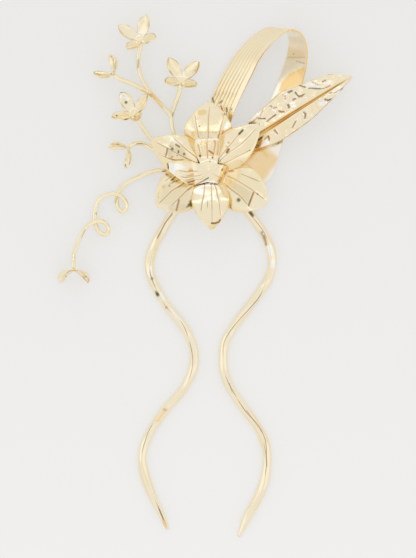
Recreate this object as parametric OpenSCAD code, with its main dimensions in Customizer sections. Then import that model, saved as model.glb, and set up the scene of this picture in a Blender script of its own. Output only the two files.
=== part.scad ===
// Flower hairpin in polished pale gold metal, lying on its back.
// x runs to the right, y from the points of the prongs up to the flower, z towards the viewer.
// The origin is below the middle of the whole pin, on the surface that it lies on.

/* [Fork] */
// Width of the hammered wire of the two prongs
wire_w = 2.8; // [2.2:0.1:3.2]
// Height of the wire above the surface
wire_h = 1.9; // [1.5:0.1:2.0]
// Share of its width and height that the hammer marks take
hammer_share = 0.07; // [0:0.01:0.12]
// Width and height of a prong at its point, as a share of the wire's
point_share = 0.34; // [0.25:0.01:0.6]

/* [Flower] */
// Flower's centre, left to right
flower_x = 1.2; // [0.8:0.1:1.6]
// Flower's centre, along the pin
flower_y = 30.7; // [30.3:0.1:31.1]
// Thickness of the petals' sheet metal
petal_t = 0.6; // [0.5:0.05:0.7]
// Radius of the round middle that the petals of a tier share
tier_hub_r = 3.2; // [2.8:0.1:3.6]
// Radius of the plain disc behind the flower, which carries everything
disc_r = 7.5; // [7:0.1:7.8]
// Thickness of that disc
disc_t = 0.5; // [0.4:0.05:0.55]
// Radius of the boss on the disc that the petals are soldered to
boss_r = 3.0; // [2.5:0.1:3.3]

/* [Ribbon] */
// Thickness of the ribbon's sheet
ribbon_t = 0.6; // [0.5:0.05:0.7]
// Number of ribs along the outer face
rib_count = 6; // [4:1:7]
// Depth of the grooves between the ribs
rib_depth = 0.2; // [0:0.05:0.25]
// Share of the width that the ribs cover, from the back edge on
rib_share = 0.76; // [0.6:0.01:0.85]

/* [Leaf] */
// Thickness of the leaf's sheet
leaf_t = 0.6; // [0.5:0.05:0.7]
// Height of the hammered bumps on the leaf
leaf_bump = 0.22; // [0:0.02:0.3]

/* [Sprays] */
// Diameter of the stems
stem_d = 1.35; // [1.1:0.05:1.4]
// Thickness of the florets' petals
floret_t = 0.5; // [0.4:0.05:0.6]
// Gap between pieces that are soldered together
gap = 0.15; // [0.1:0.01:0.2]

/* [Hidden] */

gold = "#e8d9a8";
deep_gold = "#d8bd74";
pale_gold = "#f0e6c4";

wire_sink = 0.1;          // depth that is filed off below the wire
file_block = [100, 200, 2];   // what is filed off lies in this block below the surface
ring_step = 2.4;          // distance between two sections along the fork's wire
stem_step = 1.4;          // the same along the stems, and in the tendril's curls
curl_step = 0.95;
stem_sides = 8;
stem_stub = 2.4;          // straight length of a stem behind its floret
petal_cols = 8;           // strips across a petal
floret_cols = 4;
ribbon_margin_cols = 2;   // strips across the plain margin of the ribbon
leaf_cols = 8;

// Heights of the layers behind the flower, each above the one below it
disc_z = wire_h * (1 + hammer_share) + 0.1;
seat_z = disc_z + disc_t + gap;            // underside of what lies on the disc
back_hub_z = seat_z + leaf_t + gap;        // underside of the back petals' middle
middle_hub_z = back_hub_z + petal_t + gap;
inner_hub_z = middle_hub_z + petal_t + gap;
stem_z = disc_z - gap - stem_d / 2;        // middle of the stems below the disc

// Route of the fork's wire from the left point over the arch to the right point.
// Columns: x, y, width of the wire as a share of wire_w
fork_route = [
    [-10.6, -73.4, point_share], [-12.2, -69.6, 0.72], [-15.0, -64.0, 0.98], [-17.2, -58.2, 1.06],
    [-18.1, -52.8, 0.98], [-17.2, -48.2, 1.02], [-14.8, -43.5, 0.96], [-11.1, -38.2, 1.04],
    [-6.5, -33.1, 0.98], [-3.8, -28.2, 1.00], [-2.9, -23.5, 1.06], [-3.9, -18.4, 0.98],
    [-6.8, -13.4, 1.04], [-10.7, -8.6, 0.96], [-13.9, -3.5, 1.04], [-15.8, 1.2, 1.00],
    [-15.9, 5.2, 1.06], [-14.6, 9.2, 0.98], [-12.6, 12.8, 1.04], [-9.4, 18.2, 1.00],
    [-5.0, 24.6, 1.00], [-1.7, 29.8, 1.00], [1.9, 32.6, 1.00], [5.5, 29.8, 1.00],
    [8.9, 24.6, 1.00], [13.0, 18.6, 1.02], [17.2, 12.6, 0.98], [19.3, 7.8, 1.06],
    [19.6, 3.4, 0.98], [18.4, -0.8, 1.04], [15.5, -5.2, 1.00], [12.0, -9.8, 1.04],
    [8.4, -14.6, 0.96], [5.9, -19.2, 1.04], [5.4, -23.8, 0.98], [6.1, -29.0, 1.04],
    [8.2, -33.4, 1.00], [12.1, -39.0, 1.06], [15.4, -43.5, 0.98], [17.6, -48.4, 1.04],
    [18.2, -53.0, 0.98], [17.5, -59.0, 1.06], [15.4, -64.4, 0.98], [12.3, -69.8, 0.78],
    [9.9, -75.5, point_share]];

// Outline of the wire. Columns: shares of its half width and of its height. The two points on top
// are its ridge
wire_outline = [[-0.55, 0], [0.55, 0], [1, 0.4], [0.8, 0.76],
                [0.22, 1], [-0.22, 1], [-0.8, 0.76], [-1, 0.4]];
// The hammer marks on width and height and the ridge's place, in degrees from one section to the next
hammer_turns = [151, 97, 23];
ridge_share = 0.3;        // how far the ridge wanders, as a share of the half width
flat_share = 0.35;        // share of the height that doesn't shrink with the width at the points

// Petals of one tier. Columns: share of the length, half width, height over the middle,
// height of the edges over the petal's own middle line
back_shape = [
    [0.32, 4.4, 0.5, 0.15], [0.46, 6.4, 1.2, 0.35], [0.60, 6.9, 1.8, 0.60],
    [0.74, 5.9, 2.2, 0.60], [0.86, 4.2, 2.4, 0.40], [0.94, 2.2, 2.5, 0.15], [1.00, 0.3, 2.5, 0]];
middle_shape = [
    [0.24, 4.3, 0.6, 0.05], [0.38, 5.3, 1.7, 0.40], [0.52, 5.5, 2.9, 0.70],
    [0.66, 4.9, 3.7, 0.70], [0.79, 3.6, 4.0, 0.45], [0.90, 2.0, 4.1, 0.15], [1.00, 0.3, 4.0, 0]];
// Columns: direction, length, width as a share of the table's, lift of the point
back_set = [[90, 19.7, 1.02, 0.2], [214, 18.1, 0.93, 0], [331, 19.2, 0.98, 0]];
middle_set = [[42, 19.7, 0.93, 0.2], [151.5, 18.6, 1.04, 0], [273.5, 16.9, 0.99, 0.4]];

// The inner petals rise towards the viewer, each with its own curl.
// Columns: distance from the flower's centre, half width, height over the middle, edge height,
// shift to the left seen from the flower's centre
inner_set = [
    [93, [[4.4, 3.2, 1.0, 0.2, 0], [6.0, 3.6, 2.6, 0.3, 0], [7.4, 3.8, 4.2, 0.3, 0],
          [8.3, 3.7, 5.4, 0.2, 0], [8.8, 3.2, 6.2, 0, 0], [9.1, 2.2, 6.6, -0.2, 0]]],
    [188, [[4.6, 3.6, 1.2, 0.2, 0], [6.3, 3.6, 2.8, 0.4, -0.4], [7.8, 3.1, 3.9, 0.4, -1.0],
           [9.0, 2.5, 4.5, 0.2, -1.7], [10.2, 1.9, 4.7, 0, -2.3], [11.2, 1.0, 4.5, -0.2, -2.9]]],
    [344, [[3.9, 2.8, 1.1, 0.2, 0], [4.4, 3.0, 2.5, 0.3, 0], [4.8, 2.9, 4.0, 0.2, 0],
           [5.1, 2.7, 5.0, 0, 0], [5.6, 2.2, 5.4, -0.1, 0], [6.2, 1.5, 5.2, -0.2, 0]]]];

// Ribbon from its start on the disc round the loop to its end on the disc.
// Columns: back edge x, y, height over its seat on the disc, then the same for the front edge
ribbon_rows = [
    [-1.2, 34.8, 0, 3.2, 34.8, 0], [-0.8, 38.6, 0, 4.9, 38.2, 0],
    [0.0, 43.6, -0.6, 7.0, 41.6, 0.3], [1.4, 50.2, -1.2, 8.1, 46.2, 1.0],
    [3.6, 55.4, -1.2, 10.6, 52.2, 2.5], [6.2, 60.2, -1.1, 13.3, 57.6, 3.7],
    [9.4, 65.0, -1.0, 15.8, 62.8, 4.5], [12.3, 68.2, -0.9, 18.7, 66.7, 4.9],
    [15.2, 70.7, -0.9, 21.3, 69.2, 5.2], [18.1, 72.2, -0.9, 24.5, 71.2, 5.4],
    [21.3, 72.1, -0.9, 27.4, 70.5, 5.4], [23.9, 71.0, -0.9, 29.2, 67.6, 5.2],
    [24.6, 67.9, -1.0, 29.6, 63.8, 4.8], [23.8, 63.5, -1.1, 29.2, 60.0, 4.1],
    [22.2, 58.6, -1.3, 28.0, 55.1, 2.9], [19.9, 52.8, -1.5, 26.4, 49.6, 1.4],
    [17.3, 46.7, -1.6, 24.2, 43.2, 0.3], [14.8, 40.4, -1.5, 22.2, 37.7, -0.3],
    [12.9, 35.6, -0.9, 20.7, 32.5, -0.5], [10.1, 32.1, 0, 17.6, 27.4, -0.1],
    [6.7, 31.3, 0, 8.0, 27.0, 0]];

// Leaf along its midrib, which points away from the flower's centre.
// Columns: distance, width above and below the midrib, height over the seat on the disc of the
// midrib and of both edges
leaf_origin = [0.8, 31.9];
leaf_dir = 31.9;
tongue_half = 1.9;        // half width of the tongue on the disc, which has no bumps
keel_power = 0.75;        // below 1, the midrib is a sharp keel
bump_turns = [133, 71, 157];
leaf_rows = [
    [5.0, 1.3, 1.3, 0.0, 0.0], [8.0, 1.4, 1.4, 0.1, 0.2], [11.0, 1.7, 1.6, 0.5, 1.0],
    [14.0, 3.0, 2.7, 0.9, 2.1], [17.0, 4.6, 3.8, 1.4, 3.1], [20.0, 5.6, 4.6, 2.0, 3.9],
    [23.0, 5.9, 4.9, 2.5, 4.4], [26.5, 6.5, 4.8, 2.9, 4.7], [29.8, 7.1, 4.6, 3.1, 4.8],
    [33.0, 6.3, 4.3, 3.1, 4.6], [36.5, 5.7, 3.6, 3.0, 4.2], [40.5, 4.9, 2.6, 2.7, 3.6],
    [44.0, 4.0, 1.8, 2.4, 3.0], [47.0, 2.3, 0.9, 2.1, 2.4], [49.3, 0.3, 0.3, 1.9, 1.9]];

// Florets. Columns: x, y, z of the seat, direction and tilt of the axis, turn about it, size,
// how far the petals open, their width, and the length of the first petal, as shares
floret_set = [
    [-18.8, 69.1, 4.0, 112, 31, 45, 0.91, 1.00, 1.00, 1.00],
    [-26.2, 58.9, 4.6, 141, 66, 0, 0.88, 0.60, 0.85, 0.66],
    [-6.7, 57.2, 4.0, 83, 33, 45, 0.92, 1.00, 1.00, 1.00],
    [-20.5, 47.6, 4.1, 122, 36, 0, 0.90, 1.00, 1.00, 1.00],
    [-22.3, 37.1, 4.6, 219, 80, 45, 0.83, 0.98, 0.62, 1.00],
    [-37.9, 1.9, 4.6, 270, 86, 45, 0.78, 1.14, 0.85, 1.00]];
// Petal of a floret. Columns: distance from its axis, half width, height, edge height, shift
floret_shape = [[1.7, 1.3, 0.6, 0.1, 0], [3.1, 1.9, 1.4, 0.35, 0], [4.6, 2.05, 2.4, 0.5, 0],
                [5.9, 1.4, 3.4, 0.3, 0], [6.7, 0.2, 4.1, 0, 0]];
floret_hub_r = 0.95;
side_lift = 0.9;          // how much higher the petals stand where they open less

// Stems, each from its end below the disc to its floret. Columns: x, y, z
tall_route = [
    [-1.9, 34.4, stem_z], [-5.0, 36.9, stem_z], [-8.0, 39.9, 1.5], [-9.4, 43.4, 1.7],
    [-9.7, 46.6, 1.8], [-12.0, 49.4, 1.9], [-15.4, 53.2, 2.1], [-18.1, 57.4, 2.3],
    [-19.2, 61.4, 2.2], [-19.0, 65.4, 1.9], each stem_end(1)];
tall_side_route = [[-14.2, 51.8, 2.0], [-17.2, 54.0, 2.1], [-20.8, 56.0, 2.9], each stem_end(2)];
tall_top_route = [[-9.8, 46.2, 1.8], [-8.8, 49.2, 1.8], [-7.4, 53.2, 1.9], each stem_end(3)];
short_route = [
    [-4.2, 32.2, stem_z], [-8.2, 34.2, stem_z], [-12.0, 37.0, 1.7], [-15.3, 39.8, 1.8],
    [-17.4, 42.6, 1.9], [-19.0, 45.0, 2.0], each stem_end(4)];
short_side_route = [[-10.4, 35.8, 1.6], [-14.4, 36.9, 1.8], [-17.4, 38.6, 2.6], each stem_end(5)];
tendril_route = [
    [-5.2, 30.3, stem_z], [-8.6, 30.8, stem_z], [-14.0, 30.9, 1.3], [-19.8, 28.8, 1.25],
    [-23.9, 26.4, 1.2], [-25.2, 23.8, 1.2], [-25.4, 21.4, 1.3], [-24.9, 19.7, 1.6],
    [-23.7, 18.9, 2.0], [-22.6, 19.8, 2.4], [-22.7, 21.6, 2.7], [-23.9, 23.2, 2.9],
    [-25.7, 24.1, 2.8], [-28.0, 24.0, 2.4], [-30.6, 22.5, 1.7], [-31.8, 19.4, 1.2],
    [-31.8, 16.2, 1.2], [-31.0, 13.7, 1.4], [-29.5, 12.3, 1.9], [-28.1, 12.7, 2.4],
    [-27.8, 14.2, 2.8], [-28.9, 15.8, 3.0], [-30.9, 16.3, 3.0], [-32.8, 15.7, 2.9],
    [-34.9, 13.8, 2.7], [-36.6, 10.4, 2.7], [-37.9, 6.6, 3.2], each stem_end(6)];

function unit(v) = v / norm(v);

// Direction of the axis of floret k, and the point at a distance behind its seat
function floret_axis(k) = let (az = floret_set[k - 1][3], tilt = floret_set[k - 1][4])
    [sin(tilt) * cos(az), sin(tilt) * sin(az), cos(tilt)];
function behind(k, distance) = let (f = floret_set[k - 1])
    [f[0], f[1], f[2]] - distance * floret_axis(k);
// The last two points of the stem that carries floret k
function stem_end(k) = [behind(k, stem_stub), behind(k, floret_t / 2 + gap)];

// Point of a smooth curve through the rows of a table, at place u counted in rows
function curve_at(rows, u) =
    let (last = len(rows) - 1, i = min(floor(u), last - 1), f = u - i,
         a = rows[max(i - 1, 0)], b = rows[i], c = rows[i + 1], d = rows[min(i + 2, last)])
    (2 * b + f * (c - a) + f * f * (2 * a - 5 * b + 4 * c - d)
        + f * f * f * (3 * b - a - 3 * c + d)) / 2;

function curve(rows, steps) =
    [for (k = [0 : (len(rows) - 1) * steps]) curve_at(rows, k / steps)];

// The same curve with its points about step apart
function even_curve(rows, step) =
    [for (i = [0 : len(rows) - 2])
        let (n = max(1, round(norm([for (c = [0, 1]) rows[i + 1][c] - rows[i][c]]) / step)))
        for (k = [0 : n - 1]) curve_at(rows, i + k / n), rows[len(rows) - 1]];

// Closed skin over sections with the same even number of points, which run anticlockwise when the
// next section lies towards the eye. The ends are closed by strips from point j to point n - 1 - j
module skin(sections) {
    n = len(sections[0]);
    end = (len(sections) - 1) * n;
    polyhedron(
        points = [for (section = sections) each section],
        faces = concat(
            [for (i = [0 : len(sections) - 2], j = [0 : n - 1])
                let (a = i * n + j, b = i * n + (j + 1) % n)
                each [[a, b + n, b], [a, a + n, b + n]]],
            [for (j = [0 : n / 2 - 2]) let (k = n - 1 - j)
                each [[j, j + 1, k - 1], [j, k - 1, k],
                      [end + k - 1, end + j + 1, end + j], [end + k, end + k - 1, end + j]]]));
}

// Direction of a route at point i
function heading(route, i) =
    unit(route[min(i + 1, len(route) - 1)] - route[max(i - 1, 0)]);

// Section of the hammered wire, which reaches a little below the surface
function hammered_section(route, i) =
    let (p = route[i], ahead = heading([for (r = route) [r.x, r.y]], i), side = [-ahead.y, ahead.x],
         w = wire_w * p.z * (1 + hammer_share * sin(i * hammer_turns[0])) / 2,
         h = wire_h * (flat_share + (1 - flat_share) * min(1, p.z))
             * (1 + hammer_share * sin(i * hammer_turns[1])),
         ridge = ridge_share * w * sin(i * hammer_turns[2]))
    [for (q = wire_outline)
        let (across = q.x * w + (q.y == 1 ? ridge : 0), up = q.y == 0 ? -wire_sink : q.y * h)
        [p.x + side.x * across, p.y + side.y * across, up]];

module fork() {
    route = even_curve(fork_route, ring_step);
    color(pale_gold) difference() {
        skin([for (i = [0 : len(route) - 1]) hammered_section(route, i)]);
        translate([-file_block.x / 2, -file_block.y / 2, -file_block.z]) cube(file_block);
    }
}

module back_disc() {
    color(deep_gold) translate([flower_x, flower_y, disc_z]) union() {
        cylinder(r = disc_r, h = disc_t, $fn = 72);
        cylinder(r = boss_r, h = back_hub_z - gap - disc_z, $fn = 72);
    }
}

// Rows of a petal from the table of its tier: distance, half width, height, edge height, shift
function petal_rows(shape, petal) =
    [for (row = shape) [row[0] * petal[1], row[1] * petal[2],
                        row[2] + petal[3] * row[0] * row[0], row[3], 0]];

// Directions between which a petal's foot lies, half way to its neighbours
function foot_from(petals, k) =
    k > 0 ? (petals[k - 1][0] + petals[k][0]) / 2
          : (petals[len(petals) - 1][0] - 360 + petals[0][0]) / 2;
function foot_to(petals, k) = k < len(petals) - 1 ? foot_from(petals, k + 1)
                                                 : foot_from(petals, 0) + 360;

// Point of the middle surface of petal k: row i, strip j. Row 0 lies on the hub's rim
function petal_point(petals, hub_r, cols, k, i, j) =
    let (az = petals[k][0], q = 2 * j / cols - 1, row = petals[k][1][i - 1],
         w = i == 0 ? 0 : row[4] + q * row[1])
    i == 0 ? let (a = q < 0 ? az + q * (az - foot_from(petals, k)) : az + q * (foot_to(petals, k) - az))
             [hub_r * cos(a), hub_r * sin(a), 0]
           : [row[0] * cos(az) - w * sin(az), row[0] * sin(az) + w * cos(az),
              row[2] + row[3] * q * q];

function petal_normal(petals, hub_r, cols, k, i, j) =
    let (last = len(petals[k][1]),
         out = petal_point(petals, hub_r, cols, k, min(i + 1, last), j)
             - petal_point(petals, hub_r, cols, k, i - 1, j),
         across = petal_point(petals, hub_r, cols, k, i, min(j + 1, cols))
                - petal_point(petals, hub_r, cols, k, i, max(j - 1, 0)))
    i == 0 ? [0, 0, 1] : unit(cross(out, across));

// Petals on one round hub, as one sheet of thickness t. petals: [direction, rows] for each petal
module petal_tier(petals, hub_r, cols, t) {
    count = len(petals);
    rim = count * cols;
    rows = len(petals[0][1]);
    faces_at = [1, -1];
    hub_points = [for (s = faces_at) each concat(
        [for (k = [0 : count - 1], j = [0 : cols - 1])
            petal_point(petals, hub_r, cols, k, 0, j) + [0, 0, s * t / 2]],
        [[0, 0, s * t / 2]])];
    blade_points = [for (k = [0 : count - 1], i = [1 : rows], j = [0 : cols], s = faces_at)
        petal_point(petals, hub_r, cols, k, i, j)
            + s * t / 2 * petal_normal(petals, hub_r, cols, k, i, j)];
    function id(k, i, j, low) = i == 0
        ? low * (rim + 1) + (k * cols + j) % rim
        : 2 * (rim + 1) + ((k * rows + i - 1) * (cols + 1) + j) * 2 + low;
    polyhedron(points = concat(hub_points, blade_points), faces = concat(
        [for (g = [0 : rim - 1]) each [[rim, (g + 1) % rim, g],
                                       [2 * rim + 1, rim + 1 + g, rim + 1 + (g + 1) % rim]]],
        [for (k = [0 : count - 1], i = [0 : rows - 1], j = [0 : cols - 1])
            each [[id(k, i, j, 0), id(k, i + 1, j + 1, 0), id(k, i + 1, j, 0)],
                  [id(k, i, j, 0), id(k, i, j + 1, 0), id(k, i + 1, j + 1, 0)],
                  [id(k, i, j, 1), id(k, i + 1, j, 1), id(k, i + 1, j + 1, 1)],
                  [id(k, i, j, 1), id(k, i + 1, j + 1, 1), id(k, i, j + 1, 1)]]],
        [for (k = [0 : count - 1], i = [0 : rows - 1])
            each [[id(k, i, 0, 1), id(k, i, 0, 0), id(k, i + 1, 0, 0)],
                  [id(k, i, 0, 1), id(k, i + 1, 0, 0), id(k, i + 1, 0, 1)],
                  [id(k, i, cols, 1), id(k, i + 1, cols, 1), id(k, i + 1, cols, 0)],
                  [id(k, i, cols, 1), id(k, i + 1, cols, 0), id(k, i, cols, 0)]]],
        [for (k = [0 : count - 1], j = [0 : cols - 1])
            each [[id(k, rows, j, 1), id(k, rows, j, 0), id(k, rows, j + 1, 0)],
                  [id(k, rows, j, 1), id(k, rows, j + 1, 0), id(k, rows, j + 1, 1)]]]));
}

// A tier of the flower with its underside at height z
module flower_tier(petals, z) {
    translate([flower_x, flower_y, z + petal_t / 2])
        petal_tier([for (p = petals) [p[0], curve(p[1], 2)]], tier_hub_r, petal_cols, petal_t);
}

module back_petals() {
    color(gold) flower_tier([for (p = back_set) [p[0], petal_rows(back_shape, p)]], back_hub_z);
}

module middle_petals() {
    color(pale_gold)
        flower_tier([for (p = middle_set) [p[0], petal_rows(middle_shape, p)]], middle_hub_z);
}

module inner_petals() {
    color(gold) flower_tier(inner_set, inner_hub_z);
}

// Depth of the grooves at share q of the ribbon's width
function rib_cut(q) =
    q > rib_share ? 0 : rib_depth * (1 - abs(cos(180 * rib_count * q / rib_share)));

function ribbon_section(rows, i) =
    let (row = rows[i], seat = [0, 0, seat_z + ribbon_t / 2],
         a = seat + [row[0], row[1], row[2]], b = seat + [row[3], row[4], row[5]],
         mids = [for (r = rows) [r[0] + r[3], r[1] + r[4], r[2] + r[5]] / 2],
         out = unit(cross(b - a, heading(mids, i))),
         rib_cols = 2 * rib_count,
         shares = concat([for (j = [0 : rib_cols]) rib_share * j / rib_cols],
                         [for (j = [1 : ribbon_margin_cols])
                             rib_share + (1 - rib_share) * j / ribbon_margin_cols]))
    concat([for (q = shares) a + q * (b - a) + (ribbon_t / 2 - rib_cut(q)) * out],
           [for (j = [len(shares) - 1 : -1 : 0]) a + shares[j] * (b - a) - ribbon_t / 2 * out]);

module ribbon_loop() {
    rows = curve(ribbon_rows, 2);
    color(gold) skin([for (i = [0 : len(rows) - 1]) ribbon_section(rows, i)]);
}

// Height of the hammered bumps, the same at the top and the bottom of the sheet
function bump(i, j) = leaf_bump * sin(i * bump_turns[0] + j * bump_turns[1]) * sin(j * bump_turns[2]);
// Share of that height at a section: none on the tongue, all where the leaf is broad
function bump_share(row) = max(0, min(1, (row[1] - tongue_half) / tongue_half));

function leaf_section(rows, i) =
    let (row = rows[i], c = cos(leaf_dir), s = sin(leaf_dir),
         foot = [leaf_origin.x + row[0] * c, leaf_origin.y + row[0] * s],
         seat = seat_z + leaf_t / 2,
         line = [for (j = [0 : leaf_cols])
             let (q = 2 * j / leaf_cols - 1, w = q < 0 ? q * row[2] : q * row[1],
                  z = seat + row[3] + (row[4] - row[3]) * pow(abs(q), keel_power)
                      + bump_share(row) * bump(i, j))
             [foot.x - s * w, foot.y + c * w, z]])
    concat([for (p = line) p - [0, 0, leaf_t / 2]],
           [for (j = [leaf_cols : -1 : 0]) line[j] + [0, 0, leaf_t / 2]]);

module leaf() {
    rows = curve(leaf_rows, 1);
    color(gold) skin([for (i = [0 : len(rows) - 1]) leaf_section(rows, i)]);
}

// Round wire along a route, with its sections about step apart
module stem(route, step = stem_step) {
    points = even_curve(route, step);
    color(deep_gold) skin([for (i = [0 : len(points) - 1])
        let (ahead = heading(points, i), side = unit(cross(ahead, [0, 0, 1])), up = cross(side, ahead))
        [for (j = [0 : stem_sides - 1]) let (a = 360 * j / stem_sides)
            points[i] + stem_d / 2 * (cos(a) * up + sin(a) * side)]]);
}

module tall_stem() {
    union() {
        stem(tall_route);
        stem(tall_side_route);
        stem(tall_top_route);
    }
}

module short_stem() {
    union() {
        stem(short_route);
        stem(short_side_route);
    }
}

module tendril_stem() {
    stem(tendril_route, curl_step);
}

// One of the florets: four cupped petals round a small hub, on the end of its stem
module floret(k) {
    f = floret_set[k - 1];
    lift = 1 + side_lift * (1 - f[7]);
    root = floret_shape[0][0];
    petals = [for (a = [0 : 90 : 270]) let (long = a == 0 ? f[9] : 1)
        [a, [for (r = floret_shape)
            f[6] * [root + long * (r[0] * f[7] - root), r[1] * f[8], long * r[2] * lift, r[3], 0]]]];
    color(pale_gold) translate([f[0], f[1], f[2]]) rotate([0, f[4], f[3]]) rotate(f[5])
        petal_tier(petals, floret_hub_r, floret_cols, floret_t);
}

fork();
back_disc();
back_petals();
middle_petals();
inner_petals();
ribbon_loop();
leaf();
tall_stem();
short_stem();
tendril_stem();
floret(1);  // floret_1
floret(2);  // floret_2
floret(3);  // floret_3
floret(4);  // floret_4
floret(5);  // floret_5
floret(6);  // floret_6
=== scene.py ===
import sys
import logging
import math
from dataclasses import dataclass
from enum import Enum
from typing import Sequence

import bmesh
import bpy
from mathutils import Matrix, Vector, noise


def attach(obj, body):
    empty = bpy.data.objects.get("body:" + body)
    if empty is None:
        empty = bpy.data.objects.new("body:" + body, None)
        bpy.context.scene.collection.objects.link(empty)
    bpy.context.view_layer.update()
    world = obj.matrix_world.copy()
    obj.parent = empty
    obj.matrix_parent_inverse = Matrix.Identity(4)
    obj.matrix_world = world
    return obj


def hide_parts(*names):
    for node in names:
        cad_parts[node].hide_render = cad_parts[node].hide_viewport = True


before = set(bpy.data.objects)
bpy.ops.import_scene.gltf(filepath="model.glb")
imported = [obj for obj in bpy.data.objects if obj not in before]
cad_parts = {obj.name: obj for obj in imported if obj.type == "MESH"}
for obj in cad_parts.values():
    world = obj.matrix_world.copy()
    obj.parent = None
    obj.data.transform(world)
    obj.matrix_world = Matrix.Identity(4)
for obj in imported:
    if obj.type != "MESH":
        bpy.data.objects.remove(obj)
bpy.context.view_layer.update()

# Flower hairpin in polished pale gold metal. All sizes are in millimetres, as in the part's source,
# and a finished piece is brought to metres by Bench.finish. The studio's sizes are in metres.

LOG = logging.getLogger("flower_hairpin")

Row = Sequence[float]
Point = tuple[float, float]
Colour = tuple[float, float, float]
Piece = bpy.types.Object
Finish = bpy.types.Material
Tree = bpy.types.NodeTree
Socket = bpy.types.NodeSocket
Pattern = tuple[float, float, float, int]      # steps along and across, size of a patch, seed

METRES = 0.001           # metres in a millimetre
FULL_TURN = 360.0

# Lines and marks were measured on the photograph: its pixel at the part's origin, a pixel's size
ORIGIN_PIXEL = (204.5, 277.0)
PIXEL = 0.29

# Heights of the layers, from the part's source
WIRE_HEIGHT = 1.9
SEAT_Z = 2.783           # underside of what lies on the back disc
BACK_HUB_Z = 3.533       # undersides of the three tiers of petals in their middle
MIDDLE_HUB_Z = 4.283
INNER_HUB_Z = 5.033
STEM_Z = 1.308           # middle of the stems below the disc
FLOWER = Vector((1.2, 30.7, 0.0))

PATTERN_STEP = 7.31      # way through the noise from one seed's pattern to the next
PILLOW_GAIN = 1.6        # brings the height of crinkled metal to about 1
MARK_END = 1.5           # distance at which a mark has faded out, in halves of its width
EDGE = 0.99              # share of the width beyond which a point lies on a sheet's edge


class Tone(Enum):
    """How a place of the metal looks: a dark line, painted shade where it lies in a groove or
    crease; deeper gold, painted reflection of the gold round it; a painted dark reflection; or a
    painted highlight.
    """

    LINE = "line"
    WARM = "warm"
    SHADE = "shade"
    BRIGHT = "bright"


# What a point of the metal carries: how deep a tool went in, and its tones
LAYERS = ("depth", *(tone.value for tone in Tone))


# ------------------------------------------------------------------ curves and small sums

def curve_at(rows: Sequence[Row], place: float) -> list[float]:
    """Gives a point of a smooth curve through the rows of a table.

    Args:
        rows: the table, each row with the same number of values.
        place: where on the curve, counted in rows.

    Returns:
        The values at that place.
    """
    last = len(rows) - 1
    i = min(int(place), last - 1)
    f = place - i
    a, b, c, d = rows[max(i - 1, 0)], rows[i], rows[i + 1], rows[min(i + 2, last)]
    return [(2 * q + f * (r - p) + f * f * (2 * p - 5 * q + 4 * r - s)
             + f ** 3 * (3 * q - p - 3 * r + s)) / 2 for p, q, r, s in zip(a, b, c, d)]


def even_curve(rows: Sequence[Row], step: float, flat: bool = False) -> list[list[float]]:
    """Gives the same curve with its points about evenly spaced.

    Args:
        rows: the table.
        step: distance between two points.
        flat: true where only x and y count for the distance.

    Returns:
        The rows of the finer table.
    """
    span = 2 if flat else 3
    made = []
    for i in range(len(rows) - 1):
        length = math.dist(rows[i][:span], rows[i + 1][:span])
        count = max(1, round(length / step))
        made += [curve_at(rows, i + k / count) for k in range(count)]
    return made + [list(rows[-1])]


def heading(points: Sequence[Vector], i: int) -> Vector:
    """Gives the direction of a route at point i."""
    return (points[min(i + 1, len(points) - 1)] - points[max(i - 1, 0)]).normalized()


def clamp(value: float, low: float = 0.0, high: float = 1.0) -> float:
    """Keeps a value between two others."""
    return max(low, min(high, value))


def ease(value: float) -> float:
    """Gives a smooth step from 0 to 1."""
    t = clamp(value)
    return t * t * (3 - 2 * t)


def mix(a: float, b: float, share: float) -> float:
    """Gives the value at a share of the way from a to b."""
    return a + (b - a) * share


def ripple(x: float, y: float, size: float, seed: float) -> float:
    """Gives a smooth random height, from about -1 to 1, of bumps as wide as size, in mm."""
    return noise.noise(Vector((x / size, y / size, seed * PATTERN_STEP)))


def pillows(x: float, y: float, size: float, seed: float) -> float:
    """Gives the height of crinkled metal, from 0 to about 1: round pillows, sharp valleys."""
    return abs(ripple(x, y, size, seed)) * PILLOW_GAIN


def seen(*points: Point) -> tuple[Point, ...]:
    """Gives the places in mm of the hairpin that the photograph shows at these pixels."""
    return tuple(((x - ORIGIN_PIXEL[0]) * PIXEL, (ORIGIN_PIXEL[1] - y) * PIXEL) for x, y in points)


@dataclass(frozen=True)
class Mark:
    """A line, spot or patch on the metal, given by its points in mm as seen from the front.

    One point makes a round spot, several make a line, and a filled mark is the area inside its
    corners, which run anticlockwise. half is half the width of a line or spot, or the soft border
    of an area. The other values say how dark a line it is, and how much deeper gold of painted
    reflection, painted dark reflection and painted highlight it gives.
    """

    points: tuple[Point, ...]
    half: float = 0.22
    line: float = 0.0
    warm: float = 0.0
    shade: float = 0.0
    bright: float = 0.0
    filled: bool = False

    def near(self, x: float, y: float) -> float:
        """Gives how strong the mark is at a place.

        Args:
            x: place in mm.
            y: place in mm.

        Returns:
            The strength, from 0 to 1.
        """
        if not self.filled:
            return ease(MARK_END - self.gap(x, y) / self.half)
        sides = zip(self.points, self.points[1:] + self.points[:1])
        inside = min(((bx - ax) * (y - ay) - (by - ay) * (x - ax)) / math.hypot(bx - ax, by - ay)
                     for (ax, ay), (bx, by) in sides)
        return ease(inside / self.half)

    def gap(self, x: float, y: float) -> float:
        """Gives the distance of a place from the mark's line or point.

        Args:
            x: place in mm.
            y: place in mm.

        Returns:
            The distance in mm.
        """
        gap = math.dist(self.points[0], (x, y))
        for (ax, ay), (bx, by) in zip(self.points, self.points[1:]):
            along = (x - ax) * (bx - ax) + (y - ay) * (by - ay)
            share = clamp(along / ((bx - ax) ** 2 + (by - ay) ** 2))
            gap = min(gap, math.hypot(x - mix(ax, bx, share), y - mix(ay, by, share)))
        return gap


def marked(tone: Tone, *rows: Sequence[float | Point]) -> list[Mark]:
    """Gives marks of one tone, each a row of its strength, half its width and its pixels."""
    return [Mark(seen(*pixels), half, **{tone.value: most}) for most, half, *pixels in rows]


# ------------------------------------------------------------------ the maker's bench

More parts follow.
